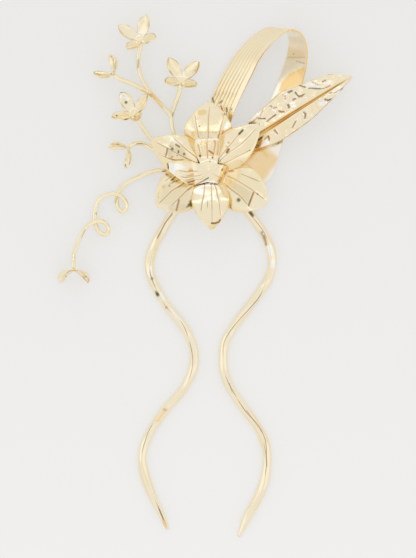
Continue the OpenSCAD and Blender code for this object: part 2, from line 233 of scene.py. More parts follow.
@dataclass(frozen=True)
class Spot:
    """A place on a sheet of metal, and what it carries there, each from 0 to 1."""

    place: Vector
    depth: float = 0.0
    line: float = 0.0
    warm: float = 0.0
    shade: float = 0.0
    bright: float = 0.0


class Bench:
    """The tools that every piece is made with."""

    SAME_PLACE = 0.002       # distance in mm within which two points become one
    RIM_SLACK = 0.02         # how far in mm a point of a hub's rim may be from its circle
    RING_FADE = 0.5          # share of a chased line that a hub's next ring keeps
    EDGE_CREASE = 0.5        # sharpness of a sheet's edges
    CHASE_PASSES = 4         # number of passes that press a chased line in
    LOOKS_UP = 0.1           # least upward part of the normal where marks are put on

    @staticmethod
    def clear() -> None:
        """Leaves edit mode and deselects everything."""
        if bpy.context.object and bpy.context.object.mode != "OBJECT":
            bpy.ops.object.mode_set(mode="OBJECT")
        bpy.ops.object.select_all(action="DESELECT")

    @staticmethod
    def pick(piece: Piece) -> None:
        """Selects one piece alone and makes it active.

        Args:
            piece: the piece.
        """
        Bench.clear()
        piece.select_set(True)
        bpy.context.view_layer.objects.active = piece

    @staticmethod
    def edit(piece: Piece, kind: str = "VERT") -> bmesh.types.BMesh:
        """Opens a piece in edit mode with nothing selected.

        Args:
            piece: the piece.
            kind: what is selected next, VERT, EDGE or FACE.

        Returns:
            Its mesh as it is edited.
        """
        Bench.pick(piece)
        bpy.ops.object.mode_set(mode="EDIT")
        bpy.ops.mesh.select_mode(type=kind)
        bpy.ops.mesh.select_all(action="DESELECT")
        return bmesh.from_edit_mesh(piece.data)

    @staticmethod
    def lay(name: str, rows: Sequence[Sequence[Spot]]) -> Piece:
        """Adds a flat grid and moves each of its points to its place on the sheet.

        Args:
            name: name of the piece.
            rows: the places, row by row, each row from left to right seen along the sheet.

        Returns:
            The sheet, in mm.
        """
        Bench.clear()
        columns = len(rows[0])
        bpy.ops.mesh.primitive_grid_add(x_subdivisions=columns - 1, y_subdivisions=len(rows) - 1,
                                        size=2)
        sheet = bpy.context.object
        sheet.name = sheet.data.name = name
        mesh = Bench.edit(sheet)
        layers = [mesh.verts.layers.float.new(layer) for layer in LAYERS]
        order = sorted(mesh.verts, key=lambda v: (round(v.co.y, 5), round(v.co.x, 5)))
        spots = [spot for row in rows for spot in row]
        for point, spot in zip(order, spots):
            for layer, key in zip(layers, LAYERS):
                point[layer] = getattr(spot, key)
        numbers = [point.index for point in order]
        for number, spot in zip(numbers, spots):
            mesh.verts.ensure_lookup_table()
            point = mesh.verts[number]
            point.select_set(True)
            bpy.ops.transform.translate(value=spot.place - point.co)
            mesh = bmesh.from_edit_mesh(sheet.data)
            mesh.verts.ensure_lookup_table()
            mesh.verts[number].select_set(False)
        bpy.ops.object.mode_set(mode="OBJECT")
        return sheet

    @staticmethod
    def join(pieces: Sequence[Piece], name: str, merge: bool = True) -> Piece:
        """Joins pieces into one.

        Args:
            pieces: the pieces, of which the first one stays.
            name: name of the joined piece.
            merge: true where points at the same place become one.

        Returns:
            The joined piece.
        """
        Bench.pick(pieces[0])
        for piece in pieces[1:]:
            piece.select_set(True)
        if len(pieces) > 1:
            bpy.ops.object.join()
        whole = bpy.context.object
        whole.name = whole.data.name = name
        if merge:
            Bench.merge(whole)
        return whole

    @staticmethod
    def merge(piece: Piece) -> None:
        """Merges points that are at the same place.

        Args:
            piece: the piece.
        """
        Bench.edit(piece)
        bpy.ops.mesh.select_all(action="SELECT")
        bpy.ops.mesh.remove_doubles(threshold=Bench.SAME_PLACE)
        bpy.ops.object.mode_set(mode="OBJECT")

    @staticmethod
    def outwards(piece: Piece) -> None:
        """Turns the faces of a closed piece outwards.

        Args:
            piece: the piece.
        """
        Bench.edit(piece)
        bpy.ops.mesh.select_all(action="SELECT")
        bpy.ops.mesh.normals_make_consistent(inside=False)
        bpy.ops.object.mode_set(mode="OBJECT")

    @staticmethod
    def cap_ends(piece: Piece) -> None:
        """Closes each open end of a tube with one face.

        Args:
            piece: the tube.
        """
        mesh = Bench.edit(piece, "EDGE")
        for edge in mesh.edges:
            edge.select_set(edge.is_boundary)
        bpy.ops.mesh.edge_face_add()
        bpy.ops.object.mode_set(mode="OBJECT")
        Bench.outwards(piece)

    @staticmethod
    def close_hub(sheet: Piece, centre: Vector, radius: float, height: float,
                  shares: Sequence[float]) -> None:
        """Closes the open middle of a sheet: draws its rim inwards, ring by ring, down to a dish.

        Args:
            sheet: the sheet.
            centre: middle of the dish.
            radius: radius of the rim.
            height: height of the rim over the dish's middle.
            shares: radius of each ring, as a share of the rim's.
        """
        mesh = Bench.edit(sheet, "EDGE")
        for edge in mesh.edges:
            edge.select_set(edge.is_boundary and all(
                abs((v.co - centre).xy.length - radius) < Bench.RIM_SLACK
                and abs(v.co.z - centre.z - height) < Bench.RIM_SLACK for v in edge.verts))
        before = 1.0
        for share in (*shares, 0.0):
            bpy.ops.mesh.extrude_edges_move()
            bpy.ops.transform.translate(value=(0, 0, height * (share - before)))
            if share:
                scale = share / before
                bpy.ops.transform.resize(value=(scale, scale, 1), center_override=centre)
                mesh = bmesh.from_edit_mesh(sheet.data)
                for layer in (mesh.verts.layers.float["line"], mesh.verts.layers.float["depth"]):
                    for point in mesh.verts:
                        if point.select:
                            point[layer] *= Bench.RING_FADE
            before = share
        bpy.ops.mesh.merge(type="CENTER")
        bpy.ops.object.mode_set(mode="OBJECT")

    @staticmethod
    def modify(piece: Piece, kind: str, **settings: object) -> None:
        """Adds a modifier and applies it.

        Args:
            piece: the piece.
            kind: the modifier's type.
            **settings: its settings.
        """
        Bench.pick(piece)
        modifier = piece.modifiers.new(kind.title(), kind)
        for key, value in settings.items():
            setattr(modifier, key, value)
        bpy.ops.object.modifier_apply(modifier=modifier.name)

    @staticmethod
    def thicken(piece: Piece, thickness: float, bright_below: float = 0.0) -> None:
        """Gives a sheet its thickness, half to each side, and takes the marks off the lower face.

        Args:
            piece: the sheet.
            thickness: the thickness in mm.
            bright_below: how much painted highlight the lower face gets.
        """
        upper = len(piece.data.vertices)
        Bench.modify(piece, "SOLIDIFY", thickness=thickness, offset=0.0,
                     edge_crease_outer=Bench.EDGE_CREASE, edge_crease_inner=Bench.EDGE_CREASE)
        mesh = Bench.edit(piece)
        # The lower face loses its lines and painted dark reflections, and gets its own painted
        # highlight
        for key, value in (("depth", 0.0), ("line", 0.0), ("shade", 0.0), ("bright", bright_below)):
            layer = mesh.verts.layers.float[key]
            for point in mesh.verts:
                if point.index >= upper:
                    point[layer] = value
        bpy.ops.object.mode_set(mode="OBJECT")

    @staticmethod
    def chase(piece: Piece, depth: float) -> None:
        """Presses the chased lines into the upper face, pass by pass.

        Args:
            piece: the sheet with its thickness.
            depth: depth of the deepest line in mm.
        """
        for number in range(Bench.CHASE_PASSES):
            mesh = Bench.edit(piece)
            layer = mesh.verts.layers.float["depth"]
            for point in mesh.verts:
                point.select_set(point[layer] > (number + 0.5) / Bench.CHASE_PASSES)
            bpy.ops.transform.shrink_fatten(value=-depth / Bench.CHASE_PASSES)
            bpy.ops.object.mode_set(mode="OBJECT")

    @staticmethod
    def smooth(piece: Piece, levels: int) -> None:
        """Subdivides a piece and shades it smooth.

        Args:
            piece: the piece.
            levels: how many times it is subdivided.
        """
        Bench.modify(piece, "SUBSURF", levels=levels, render_levels=levels)
        Bench.pick(piece)
        bpy.ops.object.shade_smooth()

    @staticmethod
    def stain(piece: Piece, marks: Sequence[Mark]) -> None:
        """Puts marks on the faces of a piece that look up.

        Args:
            piece: the piece, in mm.
            marks: the marks.
        """
        for tone in Tone:
            wanted = [(mark, getattr(mark, tone.value)) for mark in marks]
            wanted = [(mark, most) for mark, most in wanted if most]
            if not wanted:
                continue
            values = piece.data.attributes[tone.value].data
            for vertex in piece.data.vertices:
                if vertex.normal.z > Bench.LOOKS_UP:
                    found = max(mark.near(vertex.co.x, vertex.co.y) * most for mark, most in wanted)
                    values[vertex.index].value = max(values[vertex.index].value, found)

    @staticmethod
    def finish(piece: Piece, material: Finish, *nodes: str) -> Piece:
        """Brings a piece to metres, dresses it and sets it in place of its CAD nodes.

        Args:
            piece: the piece, in mm.
            material: its finish.
            *nodes: the CAD nodes that it stands for.

        Returns:
            The finished piece.
        """
        Bench.pick(piece)
        bpy.ops.transform.resize(value=(METRES, METRES, METRES), center_override=(0, 0, 0))
        bpy.ops.object.transform_apply(location=True, rotation=True, scale=True)
        piece.data.materials.clear()
        piece.data.materials.append(material)
        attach(piece, "root")
        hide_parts(*nodes)
        LOG.info("%s: %d faces", piece.name, len(piece.data.polygons))
        return piece


# ------------------------------------------------------------------ finishes

def fresh(name: str) -> tuple[Finish, bpy.types.Node]:
    """Adds a material.

    Args:
        name: its name.

    Returns:
        The material and its shader.
    """
    material = bpy.data.materials.new(name)
    material.use_nodes = True
    return material, material.node_tree.nodes["Principled BSDF"]


@dataclass(frozen=True)
class PolishedGold:
    """Polished pale gold metal, a little uneven from the hammer.

    Its chased lines are darker, painted shade in their grooves, and there are warmer patches at
    random. Painted in its colour are also deeper gold where it reflects gold, dark reflections and
    highlights.
    """

    name: str = "polished_gold"
    pale: Colour = (0.985, 0.885, 0.65)
    warm: Colour = (0.97, 0.81, 0.49)
    # deeper gold, painted reflection of gold in gold
    deep: Colour = (0.94, 0.66, 0.28)
    # dark lines, painted shade in the chased lines, grooves and creases
    line: Colour = (0.62, 0.27, 0.10)
    olive: Colour = (0.24, 0.18, 0.06)
    # painted dark reflection
    dark_reflection: Colour = (0.15, 0.145, 0.055)
    # painted highlight
    bright: Colour = (1.0, 0.985, 0.93)
    cloud: float = 9.0             # width of a warmer patch, in mm
    cloud_noise: Point = (0.42, 0.72)      # noise values at which a patch starts and is full
    warmth: float = 0.5            # share of the warm tone in the patches
    line_cloud: float = 6.0         # width of an olive stretch of the lines, in mm
    line_noise: Point = (0.52, 0.60)
    cloud_detail: float = 3.0
    grain: float = 1.1             # width of the fine unevenness, in mm
    grain_detail: float = 2.0
    roughness: Point = (0.105, 0.21)       # of the smoothest and the roughest places
    bump: float = 0.08
    bump_height: float = 0.0002    # in metres

    @staticmethod
    def blend(tree: Tree, under: Socket | Colour, over: Socket | Colour, share: Socket) -> Socket:
        """Lays one colour over another.

        Args:
            tree: the material's nodes.
            under: the colour below, made by a node or plain.
            over: the colour above, made by a node or plain.
            share: how much of the colour above shows.

        Returns:
            The blended colour.
        """
        node = tree.nodes.new("ShaderNodeMix")
        node.data_type = "RGBA"
        tree.links.new(share, node.inputs["Factor"])
        for key, colour in (("A", under), ("B", over)):
            if isinstance(colour, Socket):
                tree.links.new(colour, node.inputs[key])
            else:
                node.inputs[key].default_value = (*colour, 1.0)
        return node.outputs["Result"]

    @staticmethod
    def speckle(tree: Tree, size: float, detail: float) -> Socket:
        """Makes a soft random pattern.

        Args:
            tree: the material's nodes.
            size: width of its patches in mm.
            detail: how many finer patterns it holds.

        Returns:
            The pattern's value.
        """
        place = tree.nodes.new("ShaderNodeTexCoord")
        pattern = tree.nodes.new("ShaderNodeTexNoise")
        pattern.inputs["Scale"].default_value = 1 / (METRES * size)
        pattern.inputs["Detail"].default_value = detail
        tree.links.new(place.outputs["Object"], pattern.inputs["Vector"])
        return pattern.outputs["Fac"]

    @staticmethod
    def ranged(tree: Tree, value: Socket, **limits: float) -> Socket:
        """Brings a value from one range to another.

        Args:
            tree: the material's nodes.
            value: the value.
            **limits: from_min, from_max, to_min and to_max, where they aren't 0 and 1.

        Returns:
            The new value.
        """
        node = tree.nodes.new("ShaderNodeMapRange")
        for key, limit in limits.items():
            node.inputs[key.replace("_", " ").title()].default_value = limit
        tree.links.new(value, node.inputs["Value"])
        return node.outputs["Result"]

    def clouds(self, tree: Tree, size: float, limits: Point, most: float) -> Socket:
        """Makes soft patches as wide as size in mm, between two noise values, up to a value."""
        pattern = self.speckle(tree, size, self.cloud_detail)
        return self.ranged(tree, pattern, from_min=limits[0], from_max=limits[1], to_max=most)

    @staticmethod
    def layer(tree: Tree, tone: Tone) -> Socket:
        """Reads a tone that the metal's points carry.

        Args:
            tree: the material's nodes.
            tone: the tone.

        Returns:
            Its value.
        """
        node = tree.nodes.new("ShaderNodeAttribute")
        node.attribute_name = tone.value
        return node.outputs["Fac"]

    def build(self) -> Finish:
        """Makes the material's nodes.

        Returns:
            The material.
        """
        material, shader = fresh(self.name)
        tree = material.node_tree
        links = tree.links
        shader.inputs["Metallic"].default_value = 1.0

        patches = self.clouds(tree, self.cloud, self.cloud_noise, self.warmth)
        stretches = self.clouds(tree, self.line_cloud, self.line_noise, 1.0)
        line_colour = self.blend(tree, self.line, self.olive, stretches)
        colour = self.blend(tree, self.pale, self.warm, patches)
        # Over the metal's own tone: painted highlight, deeper gold of painted reflection, dark
        # lines of painted shade, painted dark reflection
        for tone, over in ((Tone.BRIGHT, self.bright), (Tone.WARM, self.deep), (Tone.LINE, line_colour),
                           (Tone.SHADE, self.dark_reflection)):
            colour = self.blend(tree, colour, over, self.layer(tree, tone))
        links.new(colour, shader.inputs["Base Color"])

        grain = self.speckle(tree, self.grain, self.grain_detail)
        low, high = self.roughness
        links.new(self.ranged(tree, grain, to_min=low, to_max=high), shader.inputs["Roughness"])
        bump = tree.nodes.new("ShaderNodeBump")
        bump.inputs["Strength"].default_value = self.bump
        bump.inputs["Distance"].default_value = self.bump_height
        links.new(grain, bump.inputs["Height"])
        links.new(bump.outputs["Normal"], shader.inputs["Normal"])
        return material


@dataclass(frozen=True)
class Paper:
    """Matt paper of the table with a painted glow that lifts the shadows, a little brighter on the
    near side.
    """

    name: str = "table_paper"
    colour: Colour = (0.42, 0.418, 0.412)
    roughness: float = 0.9
    glow_colour: Colour = (1.0, 0.996, 0.985)
    glow_far: float = 0.45         # painted glow of the paper, which lifts the shadows, at the far side
    glow_near: float = 0.49
    reach: float = 0.08            # distance in metres of the far and near sides from the middle

    def build(self) -> Finish:
        """Makes the material's nodes.

        Returns:
            The material.
        """
        material, shader = fresh(self.name)
        nodes, links = material.node_tree.nodes, material.node_tree.links
        shader.inputs["Base Color"].default_value = (*self.colour, 1.0)
        shader.inputs["Roughness"].default_value = self.roughness
        shader.inputs["Specular IOR Level"].default_value = 0.0
        shader.inputs["Emission Color"].default_value = (*self.glow_colour, 1.0)
        place = nodes.new("ShaderNodeTexCoord")
        split = nodes.new("ShaderNodeSeparateXYZ")
        glow = nodes.new("ShaderNodeMapRange")
        for key, value in (("From Min", self.reach), ("From Max", -self.reach),
                           ("To Min", self.glow_far), ("To Max", self.glow_near)):
            glow.inputs[key].default_value = value
        links.new(place.outputs["Object"], split.inputs["Vector"])
        links.new(split.outputs["Y"], glow.inputs["Value"])
        links.new(glow.outputs["Result"], shader.inputs["Emission Strength"])
        return material


@dataclass(frozen=True)
class DarkCloth:
    """Matt dark cloth and leather round the camera."""

    name: str = "camera_cloth"
    colour: Colour = (0.10, 0.11, 0.075)
    roughness: float = 0.9

    def build(self) -> Finish:
        """Sets the material's colour.

        Returns:
            The material.
        """
        material, shader = fresh(self.name)
        shader.inputs["Base Color"].default_value = (*self.colour, 1.0)
        shader.inputs["Roughness"].default_value = self.roughness
        return material


# ------------------------------------------------------------------ fork

@dataclass(frozen=True)
class Dents:
    """The unevenness that the hammer leaves along a wire."""

    strength: float
    length: float                  # length of one dent in mm
    number: int                    # each has its own number, and with it its own lane of the noise
    lane: float = 30.0             # distance between two lanes in mm

    def at(self, away: float) -> float:
        """Gives the unevenness at a distance along the wire, in mm."""
        return self.strength * ripple(away, self.lane * (self.number - 1), self.length, self.number)


@dataclass
class Fork:
    """One hammered wire, bent into two wavy prongs that an arch behind the flower joins."""

    gold: Finish
    width: float = 2.8
    height: float = WIRE_HEIGHT
    step: float = 1.15             # distance between two rows of points
    flat_share: float = 0.35       # share of the height that doesn't shrink at the points
    facet_place: float = 0.66      # place of the facets' outer edges, as a share of half the width
    facet_height: float = 0.80     # their height, as a share of the wire's
    edge_tint: Point = (0.25, 0.5)      # painted deep gold of reflection along those edges, least and what the dents add
    width_dents: Dents = Dents(0.09, 5.5, 1)
    height_dents: Dents = Dents(0.09, 4.5, 2)
    ridge_dents: Dents = Dents(0.12, 4.0, 3)
    facet_dents: tuple[Dents, Dents] = (Dents(0.14, 6.0, 4), Dents(0.14, 6.0, 5))      # left, right
    top_dents: tuple[Dents, Dents] = (Dents(0.07, 5.0, 6), Dents(0.07, 5.0, 7))
    edge_tint_dents: Dents = Dents(2.0, 7.0, 8)
    # Columns: x, y, width as a share
    route: Sequence[Row] = (
        (-10.6, -73.4, .34), (-12.2, -69.6, .72), (-15.0, -64.0, .98), (-17.2, -58.2, 1.06),
        (-18.1, -52.8, .98), (-17.2, -48.2, 1.02), (-14.8, -43.5, .96), (-11.1, -38.2, 1.04),
        (-6.5, -33.1, .98), (-3.8, -28.2, 1.0), (-2.9, -23.5, 1.06), (-3.9, -18.4, .98),
        (-6.8, -13.4, 1.04), (-10.7, -8.6, .96), (-13.9, -3.5, 1.04), (-15.8, 1.2, 1.0),
        (-15.9, 5.2, 1.06), (-14.6, 9.2, .98), (-12.6, 12.8, 1.04), (-9.4, 18.2, 1.0),
        (-5.0, 24.6, 1.0), (-1.7, 29.8, 1.0), (1.9, 32.6, 1.0), (5.5, 29.8, 1.0),
        (8.9, 24.6, 1.0), (13.0, 18.6, 1.02), (17.2, 12.6, .98), (19.3, 7.8, 1.06),
        (19.6, 3.4, .98), (18.4, -0.8, 1.04), (15.5, -5.2, 1.0), (12.0, -9.8, 1.04),
        (8.4, -14.6, .96), (5.9, -19.2, 1.04), (5.4, -23.8, .98), (6.1, -29.0, 1.04),
        (8.2, -33.4, 1.0), (12.1, -39.0, 1.06), (15.4, -43.5, .98), (17.6, -48.4, 1.04),
        (18.2, -53.0, .98), (17.5, -59.0, 1.06), (15.4, -64.4, 1.0), (12.5, -69.7, .96),
        (9.9, -75.5, .34))
    # Place of the ridge across the wire at each row of the route, from -1 at the right edge seen
    # along the route to 1 at the left edge
    ridge: Sequence[float] = (
        0.0, -0.1, -0.25, -0.1, 0.1, 0.15, 0.5, 0.2, -0.25, 0.15, 0.4, 0.4, -0.2, 0.3, 0.1,
        0.0, -0.3, -0.1, 0.25, 0.2, 0.0, 0.0, 0.0, 0.0, 0.0, 0.0, 0.2, -0.2, -0.4, -0.3,
        0.5, 0.25, -0.05, -0.2, 0.0, 0.1, 0.1, -0.1, 0.35, 0.2, -0.2, 0.0, 0.3, 0.1, 0.0)
    # Stretches where the ridge is painted dark, as shade along it: how dark, half the width of the
    # border, start and end
    dark_ridge: Sequence[tuple[float, float, Point, Point]] = (
        (.9, 1.5, (-15.4, 0.6), (-15.1, -1.4)), (.7, 1.2, (-11.3, -8.2), (-10.9, -9.4)),
        (.8, 1.3, (-5.9, -13.6), (-5.1, -15.4)), (1.0, 1.4, (-3.1, -20.0), (-3.0, -23.5)),
        (.5, 1.3, (-3.4, -24.4), (-4.2, -28.1)), (.7, 1.4, (-15.6, -43.8), (-17.4, -49.9)),
        (1.0, 1.3, (-13.5, -66.4), (-11.9, -70.8)), (.8, 1.3, (-9.1, 19.5), (-12.6, 12.2)),
        (.9, 1.4, (13.1, 19.1), (14.9, 16.0)), (.9, 1.4, (15.5, 16.0), (17.0, 12.5)),
        (.95, 1.4, (16.4, -5.5), (10.0, -11.9)), (.8, 1.4, (10.0, -11.9), (6.2, -17.7)),
        (.6, 1.4, (6.2, -17.7), (5.9, -21.2)), (1.0, 1.3, (6.9, -30.3), (8.2, -33.8)),
        (1.0, 1.3, (10.4, -36.5), (16.9, -45.0)), (1.0, 1.3, (17.0, -47.4), (18.3, -56.2)))
    marks: Sequence[Mark] = (
        # Painted dark reflections
        *marked(Tone.SHADE, (.6, .15, (172.5, 214), (165, 223), (157.5, 238)),
            (.8, .18, (158.5, 508), (163, 519)), (.5, .3, (261, 232), (264, 238)),
            (.5, .12, (246, 410), (262, 432)), (.6, .12, (229.5, 384), (232, 392)),
            (.5, .12, (264, 444), (266, 455), (267.2, 467))),
        # Deeper gold, painted reflection of the facets
        *marked(Tone.WARM, (.8, .5, (163.4, 521), (165.5, 528)), (.25, .4, (246, 486), (238, 534)),
            (.6, .5, (166, 409), (157, 421))),
        # Painted highlights
        *marked(Tone.BRIGHT, (1.0, .9, (269, 247), (270, 253)), (1.0, .8, (272.5, 262), (273, 266)),
            (1.0, .5, (160.5, 293), (164, 299)), (1.0, .35, (171, 310), (184, 325)),
            (.9, .3, (150.5, 268), (152, 276)), (.8, .3, (241, 315), (252, 304)),
            (.9, .3, (262, 231), (266, 236))),
        # Painted dark reflections
        Mark(((-13.9, -4.6), (-13.5, -5.3)), .45, shade=1.0),
        Mark(((13.2, 18.9), (13.9, 18.0)), .45, shade=.95),
        # Dark lines
        Mark(((-11.1, -8.8),), .35, line=.8), Mark(((-11.9, -38.4), (-10.8, -38.8)), .2, line=.4),
        Mark(((17.4, 11.9), (17.9, 9.4)), .3, line=.6, shade=.35),
        Mark(((16.9, 12.9),), .35, line=.6, shade=.3), Mark(((-15.3, -.3),), .4, line=.9),
        Mark(seen((264, 237), (265, 240)), .35, line=.5, shade=.35),
        # Deeper gold on a facet, painted reflection
        Mark(((-13.0, 12.6), (-14.4, 8.2)), .55, warm=.35),
        # Painted sheen over the whole fork
        Mark(((0, -76), (0, 30)), 40, bright=.2))

    @staticmethod
    def flank(side: int, facet: float, top: float, ridge: float, edge_tint: float) -> list[Row]:
        """Gives the outline of one side of the wire, from its foot up to the ridge.

        Args:
            side: 1 for the left side seen along the route, -1 for the right one.
            facet: place of the facet's outer edge.
            top: height of that edge.
            ridge: place of the ridge.
            edge_tint: how much painted deep gold of reflection the edge gets.

        Returns:
            Rows of place, as a share of half the width, height, as a share of the wire's, dark line
            and warmth.
        """
        return [(side * .6, 0, 0, 0), (side * .92, .1, 0, 0), (side, .34, 0, .2),
                (side * .96, .48, 0, 0), (facet + side * .1, top - .1, 0, 0), (facet, top, 0, edge_tint),
                (facet - side * .1, top + .04, 0, 0),
                (mix(facet, ridge, .5), mix(top, 1, .55), 0, 0), (ridge + side * .12, .985, 0, 0)]

    def section(self, points: Sequence[Vector], widths: Sequence[float], ridges: Sequence[float],
                i: int) -> list[Spot]:
        """Gives the closed outline of the wire at one place of its route.

        Args:
            points: the route on the table.
            widths: width of the wire there, as a share.
            ridges: place of the ridge across the wire.
            i: number of the place.

        Returns:
            The spots, clockwise seen along the route, with the first one again at the end.
        """
        ahead = heading(points, i)
        side = Vector((-ahead.y, ahead.x, 0))
        away = i * self.step
        half = self.width * widths[i] * (1 + self.width_dents.at(away)) / 2
        top = self.height * (self.flat_share + (1 - self.flat_share) * min(1, widths[i]))
        top *= 1 + self.height_dents.at(away)
        ridge = ridges[i] + self.ridge_dents.at(away)
        dark = max(most * Mark((start, end), half_width).near(points[i].x, points[i].y)
                   for most, half_width, start, end in self.dark_ridge)
        # Painted deep gold of reflection along the facets' edges, varied by the dents
        edge_tint = self.edge_tint[0] + self.edge_tint[1] * clamp(self.edge_tint_dents.at(away))
        left, right = (self.flank(way, way * self.facet_place + place.at(away),
                                  self.facet_height + high.at(away), ridge, edge_tint)
                       for way, place, high in zip((1, -1), self.facet_dents, self.top_dents))
        outline = [*left, (ridge, 1, dark, .3), *reversed(right), (0, 0, 0, 0), left[0]]
        return [Spot(points[i] + side * (a * half) + Vector((0, 0, b * top)), line=line, warm=warm)
                for a, b, line, warm in outline]

    def build(self) -> Piece:
        """Makes the fork.

        Returns:
            The finished fork.
        """
        table = [(*row, ridge) for row, ridge in zip(self.route, self.ridge)]
        fine = even_curve(table, self.step, flat=True)
        points = [Vector((row[0], row[1], 0)) for row in fine]
        widths = [row[2] for row in fine]
        ridges = [row[3] for row in fine]
        rows = [self.section(points, widths, ridges, i) for i in range(len(points))]
        wire = Bench.lay("fork_wire", rows)
        Bench.merge(wire)
        Bench.cap_ends(wire)
        Bench.smooth(wire, 1)
        Bench.stain(wire, self.marks)
        return Bench.finish(wire, self.gold, "fork")


# ------------------------------------------------------------------ flower

@dataclass(frozen=True)
class Vein:
    """A line chased into a petal.

    Its points are (distance from the flower's centre, distance to the left of the petal's middle)
    in mm, from the flower outwards.
    """

    points: tuple[Point, ...]
    fade: float = 0.5              # length in mm over which the line begins and ends
    # How far it is followed beyond its ends, as a share of its first and last part
    before: float = -1.0
    beyond: float = 1.5

    def left_at(self, out: float) -> float:
        """Gives how far left the line is.

        Args:
            out: distance from the flower's centre in mm.

        Returns:
            The distance to the left of the petal's middle in mm.
        """
        pairs = list(zip(self.points, self.points[1:]))
        (a, left_a), (b, left_b) = next((pair for pair in pairs if out <= pair[1][0]), pairs[-1])
        return mix(left_a, left_b, clamp((out - a) / (b - a), self.before, self.beyond))

    def depth_at(self, out: float) -> float:
        """Gives the line's depth, from 0 to 1, at a distance from the flower's centre."""
        begun, left = out - self.points[0][0] + self.fade, self.points[-1][0] + self.fade / 2 - out
        return clamp(min(begun / self.fade, left / self.fade))


@dataclass(frozen=True)
class Fold:
    """A straight fold across a petal, beyond which the metal is bent up or down.

    The fold runs from start to end, each (out, left) in mm. The metal to the right of that
    direction is bent by slope, which is positive upwards, and is as warm as said.
    """

    start: Point
    end: Point
    slope: float
    warm: float = 0.0

    def beyond(self, out: float, left: float) -> float:
        """Gives how far beyond the fold a point of the petal is in mm, below 0 on the flat side."""
        along = Vector((self.end[0] - self.start[0], self.end[1] - self.start[1])).normalized()
        return along.y * (out - self.start[0]) - along.x * (left - self.start[1])


@dataclass
class Petal:
    """One petal: its direction in degrees, its table and the lines and folds on it.

    Columns of the table: distance from the flower's centre, half width, height over the middle,
    height of the edges over the petal's own middle line, shift to the left. The lines run from the
    flower outwards, from the left edge to the right, and are in pixels of the photograph.
    """

    direction: float
    table: Sequence[Row]
    lines: Sequence[tuple[Point, ...]]
    folds: Sequence[Fold] = ()
    pillow: float = 0.06           # how far the metal between two lines stands up
    pillow_foot: float = 0.35      # share of that at the petal's two ends
    wave: float = 0.12             # height of the waves along the edges, and length of one
    wave_length: float = 3.2
    swell: float = 0.08            # height of broad swellings, and width of one
    swell_width: float = 4.5
    bumps: float = 0.02            # height of small bumps, and width of one
    bump_width: float = 1.4
    painted_highlight: float = 0.0            # painted highlight, growing from the foot
    scallop: float = 0.0           # how far the end reaches out between two lines
    scallop_share: float = 0.2     # share of the length where it does
    seed: int = 1

    @property
    def ways(self) -> tuple[Vector, Vector]:
        """The directions along the petal and to its left."""
        az = math.radians(self.direction)
        return Vector((math.cos(az), math.sin(az), 0)), Vector((-math.sin(az), math.cos(az), 0))

    @property
    def veins(self) -> list[Vein]:
        """The chased lines, in the petal's own directions."""
        ahead, left_way = self.ways
        rays = [[Vector(place) - FLOWER.xy for place in seen(*line)] for line in self.lines]
        return [Vein(tuple((ray @ ahead.xy, ray @ left_way.xy) for ray in line)) for line in rays]

    def height_at(self, row: Row, share: float, pillow: float, grown: float) -> float:
        """Gives the height of the petal over the hub, without its folds.

        Args:
            row: the table's values there.
            share: place across the petal, from -1 at its right edge to 1 at its left one.
            pillow: place between two lines, from 0 on a line to 1 midway.
            grown: how far the place is from both ends of the petal, from 0 to 1.

        Returns:
            The height in mm.
        """
        out, half, base, edge, shift = row
        raised = self.pillow_foot + (1 - self.pillow_foot) * grown
        height = base + edge * share * share + self.pillow * pillow * raised
        rim = share * share * grown
        height += self.wave * rim * ripple(out, 4 * share, self.wave_length, self.seed)
        left = shift + share * half
        height += self.swell * grown * ripple(out, left, self.swell_width, self.seed + 5)
        return height + self.bumps * ripple(out, left, self.bump_width, self.seed + 9)

    def tip_at(self, reach: float, pillow: float) -> float:
        """Gives how far the petal's end reaches out between two lines, at a share of its length."""
        return self.scallop * pillow * ease((reach - 1 + self.scallop_share) / self.scallop_share)


